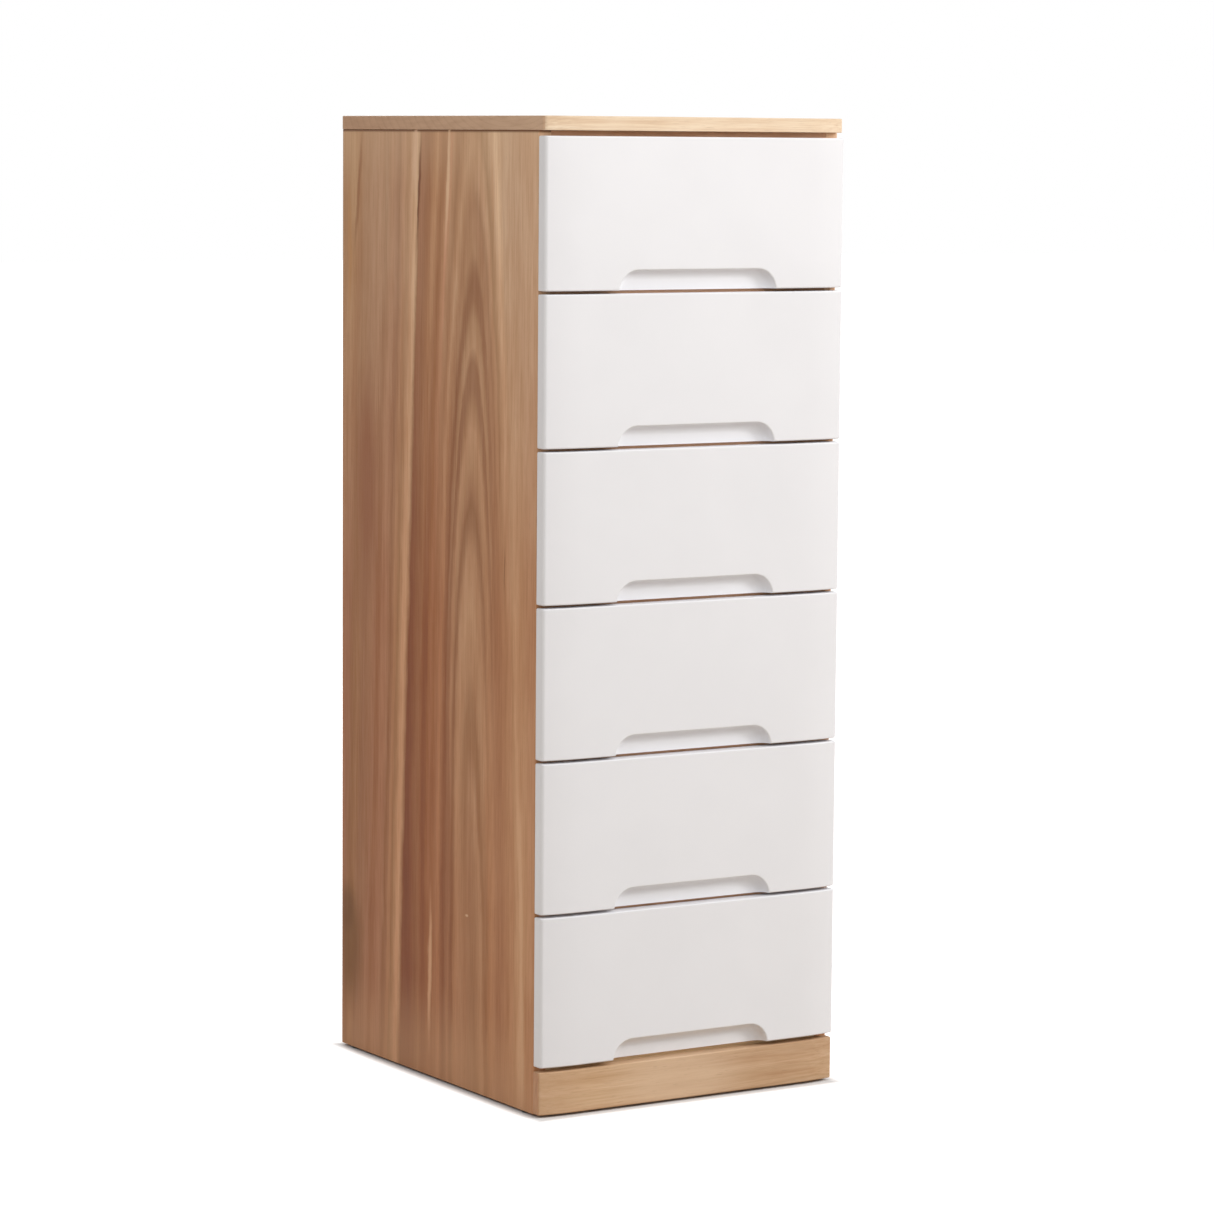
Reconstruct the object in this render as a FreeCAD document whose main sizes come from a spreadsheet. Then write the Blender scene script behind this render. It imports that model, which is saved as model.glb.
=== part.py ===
import FreeCAD, Part
import os
import re

import Sketcher

# Tall chest of drawers: a wooden carcass, six overlay drawers on telescopic
# runners, and lacquered fronts with a finger recess cut into the lower edge.
# Frame: X to the right, Y to the back, Z up.  The origin is the middle of the
# floor rectangle under the whole chest.  Drawer 1 is the top one.

# Driving sizes in millimetres; each is one named cell of the sheet.
SIZES = {
    "chest_width": 400.0,
    "side_depth": 450.0,
    "board": 16.0,
    "top_board": 16.0,
    "top_overhang": 16.0,
    "glide_height": 3.0,
    "glide_radius": 7.0,
    "glide_inset": 25.0,
    "plinth_height": 49.0,
    "plinth_board": 16.0,
    "bottom_reveal": 5.5,
    "top_reveal": 6.0,
    "bottom_lift": 10.0,
    "front_height": 170.5,
    "front_gap": 3.5,
    "front_board": 18.0,
    "front_standoff": 1.0,
    "bow_length": 50.0,
    "bow_depth": 4.5,
    "soft_edge": 1.8,
    "small_edge": 1.2,
    "recess_flat": 160.0,
    "recess_corner": 25.0,
    "recess_height": 22.5,
    "recess_depth": 13.0,
    "recess_cove": 7.0,
    "rail_depth": 50.0,
    "rail_board": 16.0,
    "back_board": 5.0,
    "back_inset": 12.0,
    "groove_depth": 6.0,
    "groove_play": 0.2,
    "block_side": 30.0,
    "runner_width": 12.7,
    "runner_height": 45.0,
    "runner_length": 400.0,
    "runner_setback": 4.0,
    "runner_rise": 50.0,
    "sheet_steel": 1.2,
    "cabinet_flange": 10.0,
    "web_play": 0.5,
    "tip_play": 0.2,
    "race_gap": 3.6,
    "cage_play": 0.3,
    "cage_width": 6.0,
    "cage_length": 130.0,
    "cage_setback": 10.0,
    "middle_shortfall": 10.0,
    "box_board": 12.0,
    "box_height": 130.0,
    "box_length": 415.0,
    "box_lift": 14.0,
    "box_bottom": 5.0,
    "box_groove": 5.0,
    "box_groove_rise": 8.0,
    "screw_shank": 2.0,
    "screw_head": 3.6,
    "head_depth": 1.2,
    "runner_screw": 13.0,
    "front_screw": 26.0,
    "back_screw": 20.0,
    "box_screw": 10.0,
    "dowel_radius": 4.0,
    "dowel_length": 30.0,
    "dowel_bite": 11.0,
    "dowel_inset": 60.0,
    "runner_screw_inset": 40.0,
    "front_screw_low": 45.0,
    "front_screw_high": 120.0,
    "front_screw_reach": 120.0,
    "back_screw_reach": 140.0,
}
DRAWERS = 6
PAIR = 2  # one at each end
TRIPLE = 3  # one at each end and one between

# Two lengths or volumes closer than this count as equal.
NEAR = 0.01

UP = FreeCAD.Vector(0, 0, 1)
LEFT = FreeCAD.Vector(-1, 0, 0)
RIGHT = FreeCAD.Vector(1, 0, 0)
FORWARD = FreeCAD.Vector(0, -1, 0)

# Lines and places worked out from the sizes, in the same words.
PLACES = {
    "drawer_pitch": "front_height + front_gap",
    "front_rise": "front_standoff + front_board",
    "overall_depth": "side_depth + front_rise",
    "face_y": "-overall_depth / 2",
    "seam_y": "face_y + front_rise",
    "rear_y": "overall_depth / 2",
    "half_width": "chest_width / 2",
    "inner_half": "half_width - board",
    "plinth_top": "glide_height + plinth_height",
    "bottom_top": "plinth_top + bottom_lift",
    "bottom_low": "bottom_top - board",
    "lowest_front": "plinth_top + bottom_reveal",
    "fronts_top": "lowest_front + %d * drawer_pitch - front_gap" % DRAWERS,
    "top_low": "fronts_top + top_reveal",
    "side_height": "top_low - glide_height",
    "back_y": "rear_y - back_inset - back_board",
    "bow_radius": "(bow_length ^ 2 + bow_depth ^ 2) / (2 * bow_depth)",
    "recess_run": "sqrt(recess_corner ^ 2 - (recess_corner - recess_height) ^ 2)",
    "recess_half": "recess_flat / 2 + recess_run",
    "box_half": "inner_half - runner_width",
    "box_inner": "box_half - box_board",
    "box_floor": "box_lift + box_groove_rise",
    "runner_z": "box_lift + runner_rise",
    "runner_start": "front_rise + runner_setback",
    "middle_height": "runner_height - 2 * (sheet_steel + race_gap)",
    "inner_height": "middle_height - 2 * (sheet_steel + race_gap)",
    "middle_length": "runner_length - middle_shortfall",
    "lowest_rail": "lowest_front + front_height + front_gap / 2 - rail_board / 2",
    "middle_web": "inner_half - sheet_steel - web_play",
    "middle_tip": "box_half + sheet_steel + tip_play",
    "inner_tip": "middle_web - sheet_steel - web_play",
}

WORD = re.compile(r"[a-z][a-z_]*[a-z]")


def spelled(text):
    """Writes a size in the sheet's own terms, with every worked-out place in brackets."""
    def swap(match):
        word = match.group()
        if word in PLACES:
            return "(" + spelled(PLACES[word]) + ")"
        return "Sizes." + word if word in SIZES else word
    return WORD.sub(swap, text)


def make_sheet(doc):
    """Puts every driving size in a cell with its name as the alias."""
    sheet = doc.addObject("Spreadsheet::Sheet", "Sizes")
    for row, (name, value) in enumerate(SIZES.items(), start=1):
        sheet.set("A%d" % row, name)
        sheet.set("B%d" % row, str(value))
        sheet.setAlias("B%d" % row, name)
    doc.recompute()
    return sheet


class Chest:
    """The document, its sheet and the sub-parts made so far."""

    def __init__(self):
        self.doc = FreeCAD.newDocument("TallChest")
        self.sheet = make_sheet(self.doc)
        self.parts = []

    def value(self, text):
        """The length in millimetres that a size or place has now."""
        return float(self.sheet.evalExpression(spelled(text)))

    def bind(self, item, **sizes):
        """Ties properties of an object to the sheet."""
        for name, text in sizes.items():
            item.setExpression(name, spelled(text))

    def place(self, item, x="0", y="0", z="0"):
        """Ties an object's place to the sheet."""
        for axis, text in (("x", x), ("y", y), ("z", z)):
            item.setExpression(".Placement.Base." + axis, spelled(text))

    def keep(self, item, label):
        """Names a finished sub-part."""
        item.Label = label
        self.parts.append(item)
        return item

    def body(self, label, **where):
        """A new body, ready for sketches, in its place."""
        body = self.doc.addObject("PartDesign::Body", label)
        body.AllowCompound = True
        self.place(body, **where)
        return self.keep(body, label)

    def block(self, label, x, y, z, across, deep, high):
        """A plain rectangular board, from its low corner."""
        board = self.doc.addObject("Part::Box", label)
        self.bind(board, Length=across, Width=deep, Height=high)
        self.place(board, x, y, z)
        return self.keep(board, label)

    def sketch(self, body, name, role, offset="0"):
        """A sketch on one of a body's own origin planes."""
        plane = next(item for item in body.Origin.OriginFeatures if item.Role == role)
        sketch = body.newObject("Sketcher::SketchObject", name)
        sketch.AttachmentSupport = [(plane, "")]
        sketch.MapMode = "FlatFace"
        sketch.setExpression(".AttachmentOffset.Base.z", spelled(offset))
        return sketch

    def fix(self, sketch, index, point, across, up=None):
        """Ties one point of a sketch to the sheet."""
        for kind, text in (("DistanceX", across), ("DistanceY", up)):
            if text is None:
                continue
            number = sketch.addConstraint(Sketcher.Constraint(kind, index, point, self.value(text)))
            sketch.setExpression("Constraints[%d]" % number, spelled(text))

    def outline(self, sketch, corners):
        """Draws one closed outline.

        A corner is (across, up) where a straight edge leaves it, or
        (across, up, centre across, centre up, turn) where an arc does; turn
        is 1 for an anticlockwise arc and -1 for a clockwise one.
        """
        first = len(sketch.Geometry)
        count = len(corners)
        points = [FreeCAD.Vector(self.value(corner[0]), self.value(corner[1]), 0) for corner in corners]
        for number, corner in enumerate(corners):
            here, there = points[number], points[(number + 1) % count]
            if len(corner) == 2:
                sketch.addGeometry(Part.LineSegment(here, there))
                self.fix(sketch, first + number, 1, corner[0], corner[1])
                continue
            self.draw_arc(sketch, here, there, corner)
        self.join(sketch, corners, first)

    def draw_arc(self, sketch, here, there, corner):
        """Draws the arc between two corners."""
        centre = FreeCAD.Vector(self.value(corner[2]), self.value(corner[3]), 0)
        circle = Part.Circle(centre, UP, (here - centre).Length)
        ends = (here, there) if corner[4] > 0 else (there, here)
        turn = [circle.parameter(end) for end in ends]
        sketch.addGeometry(Part.ArcOfCircle(circle, turn[0], turn[1]))

    def join(self, sketch, corners, first):
        """Joins neighbouring edges and ties the arcs' ends and centres.

        A constraint calls an edge's start point 1, its end point 2 and an
        arc's centre point 3.
        """
        count = len(corners)
        ends = [(1, 2) if len(corner) == 2 or corner[4] > 0 else (2, 1) for corner in corners]
        for number, corner in enumerate(corners):
            after = (number + 1) % count
            sketch.addConstraint(Sketcher.Constraint(
                "Coincident", first + number, ends[number][1], first + after, ends[after][0]))
            if len(corner) > 2:
                self.fix(sketch, first + number, ends[number][0], corner[0], corner[1])
                self.fix(sketch, first + number, 3, corner[2])

    def bar(self, body, name, x, y, z, across, deep, high):
        """Adds a rectangular bar to a body, from its low corner."""
        bar = body.newObject("PartDesign::AdditiveBox", name)
        self.bind(bar, Length=across, Width=deep, Height=high)
        self.place(bar, x, y, z)
        return bar

    def peg(self, body, name, start, way, radius, length, tip=None):
        """Adds a round peg that runs from a point along a direction; with a tip radius it tapers."""
        kind = "PartDesign::AdditiveCylinder" if tip is None else "PartDesign::AdditiveCone"
        peg = body.newObject(kind, name)
        peg.Placement = FreeCAD.Placement(FreeCAD.Vector(), FreeCAD.Rotation(UP, way))
        if tip is None:
            self.bind(peg, Radius=radius, Height=length)
        else:
            self.bind(peg, Radius1=radius, Radius2=tip, Height=length)
        self.place(peg, *start)
        return peg

    def repeat(self, body, features, role, count, span, more=None):
        """Repeats features evenly along one axis of their body, or along two of them."""
        pattern = body.newObject("PartDesign::LinearPattern", features[0].Name + "_row")
        pattern.Originals = features
        axes = {item.Role: item for item in body.Origin.OriginFeatures}
        pattern.Direction = (axes[role], [""])
        pattern.Occurrences = count
        self.bind(pattern, Length=span)
        if more:
            pattern.Direction2 = (axes[more[0]], [""])
            pattern.Occurrences2 = more[1]
            self.bind(pattern, Length2=more[2])
        body.Tip = pattern
        return pattern

    def mirror(self, body):
        """Mirrors everything in a body to the other side of the chest."""
        self.doc.recompute()
        mirror = body.newObject("PartDesign::Mirrored", body.Name + "_mirrored")
        mirror.TransformMode = "Whole shape"
        middle = next(item for item in body.Origin.OriginFeatures if item.Role == "YZ_Plane")
        mirror.MirrorPlane = (middle, [""])
        body.Tip = mirror
        return mirror

    def pad(self, body, sketch, length, backwards=False):
        """Gives a sketch its thickness."""
        pad = body.newObject("PartDesign::Pad", sketch.Name + "_pad")
        pad.Profile = sketch
        pad.Reversed = backwards
        self.bind(pad, Length=length)
        sketch.Visibility = False
        return pad

    def pocket(self, body, sketch, depth, backwards=False):
        """Cuts a sketch into its body, and makes sure that it did."""
        self.doc.recompute()
        before = body.Shape.Volume
        pocket = body.newObject("PartDesign::Pocket", sketch.Name + "_pocket")
        pocket.Profile = sketch
        pocket.Reversed = backwards
        self.bind(pocket, Length=depth)
        self.doc.recompute()
        if not body.Shape.Volume < before - NEAR:
            raise RuntimeError(sketch.Name + " cuts nothing")
        return pocket

    def soften(self, body, base, radius, wanted):
        """Rounds the edges of a feature that the test picks."""
        self.doc.recompute()
        names = ["Edge%d" % number for number, edge in enumerate(base.Shape.Edges, start=1) if wanted(edge)]
        fillet = body.newObject("PartDesign::Fillet", base.Name + "_soft")
        fillet.Base = (base, names)
        self.bind(fillet, Radius=radius)
        return fillet


def bowed_plan(half, back):
    """Plan of a board whose face, on the local X axis, bows back towards both ends."""
    return [
        ("-" + half, back),
        ("-" + half, "bow_depth", "bow_length - " + half, "bow_radius", 1),
        ("bow_length - " + half, "0"),
        (half + " - bow_length", "0", half + " - bow_length", "bow_radius", 1),
        (half, "bow_depth"),
        (half, back),
    ]


def middle_of(edge):
    """The point half way along an edge."""
    return edge.valueAt((edge.FirstParameter + edge.LastParameter) / 2)


def is_upright(edge):
    """Whether an edge is a straight vertical line."""
    return edge.BoundBox.ZLength > edge.Length - NEAR


def rim_test(chest, depth):
    """A test for the edges round the face of a bowed board: all but those of its back."""
    limit, half = chest.value(depth) - NEAR, chest.value("half_width") - NEAR

    def is_rim(edge):
        point = middle_of(edge)
        return point.y < limit and (not is_upright(edge) or abs(point.x) > half)
    return is_rim


def bowed_board(chest, label, front, depth, low, high):
    """A full-width board with bowed ends, placed by its face and its underside."""
    body = chest.body(label, y=front, z=low)
    plan = chest.sketch(body, label + "_plan", "XY_Plane")
    chest.outline(plan, bowed_plan("half_width", depth))
    return body, chest.pad(body, plan, high)


def top_panel(chest):
    """The top board, bowed like the fronts, with a groove for the back panel in its underside."""
    depth = "(side_depth + top_overhang)"
    body, pad = bowed_board(chest, "top_panel", "seam_y - top_overhang", depth, "top_low", "top_board")
    chest.soften(body, pad, "small_edge", rim_test(chest, depth))
    groove = chest.sketch(body, "top_groove", "XY_Plane")
    front = "(back_y - seam_y + top_overhang)"
    rear = front + " + back_board + groove_play"
    reach = "(inner_half + groove_depth)"
    chest.outline(groove, [("-" + reach, front), (reach, front), (reach, rear), ("-" + reach, rear)])
    chest.pocket(body, groove, "groove_depth", backwards=True)


def plinth_front(chest):
    """The plinth board across the front, bowed like the fronts above it."""
    body, pad = bowed_board(chest, "plinth_front", "seam_y - plinth_board", "plinth_board",
                            "glide_height", "plinth_height")
    chest.soften(body, pad, "soft_edge", rim_test(chest, "plinth_board"))


def side_panel(chest, label, side):
    """An upright board with a groove for the back panel; side is "-" on the left."""
    outer, inner = side + "half_width", side + "inner_half"
    deep = side + "(inner_half + groove_depth)"
    groove_end = "back_y + back_board + groove_play"
    body = chest.body(label, z="glide_height")
    plan = chest.sketch(body, label + "_plan", "XY_Plane")
    chest.outline(plan, [
        (outer, "seam_y"), (inner, "seam_y"), (inner, "back_y"), (deep, "back_y"),
        (deep, groove_end), (inner, groove_end), (inner, "rear_y"), (outer, "rear_y"),
    ])
    pad = chest.pad(body, plan, "side_height")
    half = chest.value("half_width") - NEAR
    chest.soften(body, pad, "small_edge", lambda edge: is_upright(edge) and abs(middle_of(edge).x) > half)


def carcass_boards(chest):
    """The plain boards between the side panels."""
    width = "2 * inner_half"
    chest.block("bottom_panel", "-inner_half", "seam_y", "bottom_low", width, "back_y - seam_y", "board")
    reach = "(inner_half + groove_depth - groove_play)"
    chest.block("back_panel", "-" + reach, "back_y", "bottom_low", "2 * " + reach,
                "back_board", "top_low - bottom_low + groove_depth - groove_play")
    chest.block("plinth_rear", "-inner_half", "back_y - board", "glide_height", width,
                "board", "bottom_low - glide_height")
    rail_low = "top_low - rail_board"
    chest.block("top_front_rail", "-inner_half", "seam_y", rail_low, width, "rail_depth", "rail_board")
    chest.block("top_rear_rail", "-inner_half", "back_y - rail_depth", rail_low, width,
                "rail_depth", "rail_board")


def drawer_dividers(chest):
    """The level rails between the drawers, behind the gaps of the fronts."""
    body = chest.body("drawer_dividers")
    rail = chest.bar(body, "rail", "-inner_half", "seam_y", "lowest_rail",
                     "2 * inner_half", "rail_depth", "rail_board")
    chest.repeat(body, [rail], "Z_Axis", DRAWERS - 1, "%d * drawer_pitch" % (DRAWERS - 2))


def corner_blocks(chest):
    """Glue blocks in the four corners of the plinth, under the bottom panel."""
    body = chest.body("corner_blocks")
    block = chest.bar(body, "corner_block", "-inner_half", "seam_y", "glide_height",
                      "block_side", "block_side", "bottom_low - glide_height")
    chest.repeat(body, [block], "X_Axis", PAIR, "2 * inner_half - block_side",
                 ("Y_Axis", PAIR, "back_y - board - block_side - seam_y"))


def foot_glides(chest):
    """Round pads nailed under the side panels."""
    body = chest.body("foot_glides")
    start = ("board / 2 - half_width", "seam_y + glide_inset", "0")
    glide = chest.peg(body, "glide", start, UP, "glide_radius", "glide_height")
    chest.repeat(body, [glide], "X_Axis", PAIR, "chest_width - board",
                 ("Y_Axis", PAIR, "side_depth - 2 * glide_inset"))


def carcass_dowels(chest):
    """Wooden dowels in the joints between the side panels and the boards that they carry."""
    body = chest.body("carcass_dowels")
    start = ("board / 2 - half_width", "seam_y + dowel_inset", "top_low + dowel_bite - dowel_length")
    upright = chest.peg(body, "top_dowel", start, UP, "dowel_radius", "dowel_length")
    chest.repeat(body, [upright], "Y_Axis", TRIPLE, "side_depth - 2 * dowel_inset")
    across = "dowel_length - dowel_bite - inner_half"
    low = chest.peg(body, "bottom_dowel", (across, "seam_y + dowel_inset", "bottom_top - board / 2"),
                    LEFT, "dowel_radius", "dowel_length")
    chest.repeat(body, [low], "Y_Axis", TRIPLE, "back_y - seam_y - 2 * dowel_inset")
    rail_y = "seam_y + rail_depth / 2"
    level = chest.peg(body, "rail_dowel", (across, rail_y, "lowest_rail + rail_board / 2"),
                      LEFT, "dowel_radius", "dowel_length")
    chest.repeat(body, [level], "Z_Axis", DRAWERS - 1, "%d * drawer_pitch" % (DRAWERS - 2))
    rail = chest.peg(body, "top_rail_dowel", (across, rail_y, "top_low - rail_board / 2"),
                     LEFT, "dowel_radius", "dowel_length")
    chest.repeat(body, [rail], "Y_Axis", PAIR, "back_y - seam_y - rail_depth")
    chest.mirror(body)


def screw(chest, body, name, start, way, length):
    """A countersunk screw whose flat head starts at a point; gives its two features.

    Both start at that point, because a row of two features copies them
    rightly only where they share one place.
    """
    head = chest.peg(body, name + "_head", start, way, "screw_head", "head_depth", tip="screw_shank")
    shank = chest.peg(body, name + "_shank", start, way, "screw_shank", length)
    return [head, shank]


def back_screws(chest):
    """Screws through the back panel into the bottom panel and the top rear rail."""
    body = chest.body("back_screws")
    level = "(bottom_top - board / 2)"
    features = screw(chest, body, "back_screw", ("-back_screw_reach", "back_y + back_board", level),
                     FORWARD, "back_screw")
    chest.repeat(body, features, "X_Axis", TRIPLE, "2 * back_screw_reach",
                 ("Z_Axis", PAIR, "top_low - rail_board / 2 - " + level))


def channel(web, inner_web, tip, height):
    """Section of a rolled channel, in X and Z: a web with a flange at its top and bottom."""
    outer, inner = "(%s) / 2" % height, "((%s) / 2 - sheet_steel)" % height
    return [
        (web, "runner_z - " + outer), (tip, "runner_z - " + outer), (tip, "runner_z - " + inner),
        (inner_web, "runner_z - " + inner), (inner_web, "runner_z + " + inner),
        (tip, "runner_z + " + inner), (tip, "runner_z + " + outer), (web, "runner_z + " + outer),
    ]


def cabinet_runners(chest, label, side):
    """The fixed runner members on one side panel, one above the other."""
    body = chest.body(label, y="face_y", z="lowest_front")
    section = chest.sketch(body, label + "_section", "XZ_Plane", "-runner_start")
    wall = side + "inner_half"
    inward = {"-": " + ", "": " - "}[side]
    chest.outline(section, channel(wall, wall + inward + "sheet_steel",
                                   wall + inward + "cabinet_flange", "runner_height"))
    pad = chest.pad(body, section, "runner_length", backwards=True)
    chest.repeat(body, [pad], "Z_Axis", DRAWERS, "%d * drawer_pitch" % (DRAWERS - 1))


def cabinet_runner_screws(chest):
    """Countersunk screws that hold the fixed runner members to the side panels."""
    body = chest.body("cabinet_runner_screws")
    along = "face_y + runner_start + runner_screw_inset"
    start = ("sheet_steel - inner_half", along, "lowest_front + runner_z")
    features = screw(chest, body, "cabinet_screw", start, LEFT, "runner_screw")
    chest.repeat(body, features, "Z_Axis", DRAWERS, "%d * drawer_pitch" % (DRAWERS - 1),
                 ("Y_Axis", TRIPLE, "runner_length - 2 * runner_screw_inset"))
    chest.mirror(body)


def drawer_front(chest, label, level):
    """The lacquered front with its finger recess, open along the lower edge."""
    body, pad = bowed_board(chest, label, "face_y", "front_board", level, "front_height")
    recess = chest.sketch(body, label + "_recess", "XZ_Plane")
    centre = "recess_height - recess_corner"
    chest.outline(recess, [
        ("-recess_half", "0", "-recess_flat / 2", centre, -1),
        ("-recess_flat / 2", "recess_height"),
        ("recess_flat / 2", "recess_height", "recess_flat / 2", centre, -1),
        ("recess_half", "0"),
    ])
    pocket = chest.pocket(body, recess, "recess_depth")
    floor, face = chest.value("recess_depth"), chest.value("bow_depth") + NEAR
    half, is_rim = chest.value("half_width") - NEAR, rim_test(chest, "front_board")

    def is_inner_corner(edge):
        return abs(middle_of(edge).y - floor) < NEAR and middle_of(edge).z > NEAR

    def is_face_edge(edge):
        return is_rim(edge) and (middle_of(edge).y < face or abs(middle_of(edge).x) > half)
    cove = chest.soften(body, pocket, "recess_cove", is_inner_corner)
    chest.soften(body, cove, "soft_edge", is_face_edge)


def grooved_board(outer, inner, deep):
    """Section of a box board, with the groove for the drawer's bottom in its inner face."""
    groove_top = "box_floor + box_bottom + groove_play"
    box_top = "box_lift + box_height"
    return [
        (outer, "box_lift"), (inner, "box_lift"), (inner, "box_floor"), (deep, "box_floor"),
        (deep, groove_top), (inner, groove_top), (inner, box_top), (outer, box_top),
    ]


def box_sides(chest, label, level):
    """Both side boards of a drawer box, grooved for its bottom."""
    body = chest.body(label, y="face_y", z=level)
    section = chest.sketch(body, label + "_section", "XZ_Plane", "-front_board")
    chest.outline(section, grooved_board("-box_half", "-box_inner", "-(box_inner + box_groove)"))
    chest.pad(body, section, "box_length", backwards=True)
    chest.mirror(body)


def box_ends(chest, label, level):
    """The inner front board and the back board of a drawer box, grooved for its bottom."""
    body = chest.body(label, y="face_y", z=level)
    section = chest.sketch(body, label + "_section", "YZ_Plane", "-box_inner")
    box_rear = "front_board + box_length"
    chest.outline(section, grooved_board(
        "front_board", "front_board + box_board", "front_board + box_board - box_groove"))
    chest.outline(section, grooved_board(
        box_rear, box_rear + " - box_board", box_rear + " - box_board + box_groove"))
    chest.pad(body, section, "2 * box_inner")


def box_bottom(chest, label, level):
    """The thin bottom of a drawer box, held in the grooves of its four boards."""
    reach = "(box_inner + box_groove - groove_play)"
    inset = "(box_board - box_groove + groove_play)"
    chest.block(label, "-" + reach, "face_y + front_board + " + inset, level + " + box_floor",
                "2 * " + reach, "box_length - 2 * " + inset, "box_bottom")


def inner_runners(chest, label, level):
    """The runner members screwed to both sides of a drawer box."""
    body = chest.body(label, y="face_y", z=level)
    section = chest.sketch(body, label + "_section", "XZ_Plane", "-runner_start")
    chest.outline(section, channel("-box_half", "-box_half - sheet_steel", "-inner_tip", "inner_height"))
    chest.pad(body, section, "runner_length", backwards=True)
    chest.mirror(body)


def middle_runners(chest, label, level):
    """The middle runner members of one drawer, with the ball cages that ride on them."""
    body = chest.body(label, y="face_y", z=level)
    section = chest.sketch(body, label + "_section", "XZ_Plane", "-runner_start")
    inner_face = "sheet_steel - middle_web"
    chest.outline(section, channel("-middle_web", inner_face, "-middle_tip", "middle_height"))
    chest.pad(body, section, "middle_length", backwards=True)
    cage = "(race_gap - cage_play)"
    outer = "(middle_height / 2 + cage_play / 2)"
    inner = "(middle_height / 2 - sheet_steel - race_gap + cage_play / 2)"
    rear = "runner_start + middle_length - cage_setback - cage_length"
    front = "runner_start + cage_setback"
    for name, rise, along in (
            ("upper_outer_cage", outer, rear), ("upper_inner_cage", inner, front),
            ("lower_outer_cage", "(-" + outer + " - " + cage + ")", rear),
            ("lower_inner_cage", "(-" + inner + " - " + cage + ")", front)):
        chest.bar(body, name, "sheet_steel + web_play - middle_web", along, "runner_z + " + rise,
                  "cage_width", "cage_length", cage)
    chest.mirror(body)


def drawer_screws(chest, label, level):
    """The screws of one drawer: two through each runner member, and four into its front."""
    body = chest.body(label, y="face_y", z=level)
    start = ("-box_half - sheet_steel", "runner_start + runner_screw_inset", "runner_z")
    runner = screw(chest, body, "runner_screw", start, RIGHT, "box_screw")
    chest.repeat(body, runner, "Y_Axis", PAIR, "runner_length - 2 * runner_screw_inset")
    start = ("-front_screw_reach", "front_board + box_board", "front_screw_low")
    fixing = screw(chest, body, "front_screw", start, FORWARD, "front_screw")
    chest.repeat(body, fixing, "Z_Axis", PAIR, "front_screw_high - front_screw_low")
    chest.mirror(body)


def carcass(chest):
    """Everything that stands still."""
    side_panel(chest, "left_side_panel", "-")
    side_panel(chest, "right_side_panel", "")
    top_panel(chest)
    plinth_front(chest)
    carcass_boards(chest)
    drawer_dividers(chest)
    corner_blocks(chest)
    foot_glides(chest)
    carcass_dowels(chest)
    back_screws(chest)
    cabinet_runners(chest, "left_cabinet_runners", "-")
    cabinet_runners(chest, "right_cabinet_runners", "")
    cabinet_runner_screws(chest)


def drawer(chest, number):
    """One drawer with its runners; number 1 is at the top."""
    level = "(lowest_front + %d * drawer_pitch)" % (DRAWERS - number)
    name = "drawer_%d_" % number
    drawer_front(chest, name + "front", level)
    box_sides(chest, name + "box_sides", level)
    box_ends(chest, name + "box_ends", level)
    box_bottom(chest, name + "box_bottom", level)
    inner_runners(chest, name + "inner_runners", level)
    middle_runners(chest, name + "middle_runners", level)
    drawer_screws(chest, name + "screws", level)


def check(chest):
    """Stops if any object of the document failed or any sub-part has no sound shape."""
    chest.doc.recompute()
    for item in chest.doc.Objects:
        if "Invalid" in item.State or "Error" in item.State:
            raise RuntimeError("%s did not rebuild: %s" % (item.Name, item.State))
    for part in chest.parts:
        if part.Shape.isNull() or not part.Shape.isValid():
            raise RuntimeError("%s has no sound shape" % part.Label)


def write(chest):
    """Writes each sub-part to its own file."""
    os.makedirs("parts", exist_ok=True)
    for part in chest.parts:
        part.Shape.exportStep(os.path.join("parts", part.Label + ".step"))


def main():
    """Builds, checks and writes the chest."""
    chest = Chest()
    carcass(chest)
    for number in range(1, DRAWERS + 1):
        drawer(chest, number)
    check(chest)
    write(chest)


main()
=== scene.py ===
"""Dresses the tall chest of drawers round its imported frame: boards, fronts, runners and finishes."""

import sys

import logging
import math
from dataclasses import dataclass, field, replace
from enum import Enum
from functools import partial
from typing import Any, Callable, Iterable, NamedTuple

import bmesh
import bpy
from bmesh.types import BMEdge, BMesh, BMFace, BMVert
from bpy.types import ID, Material, Node, NodeSocket, NodeTree, Object
from mathutils import Matrix, Vector


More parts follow.
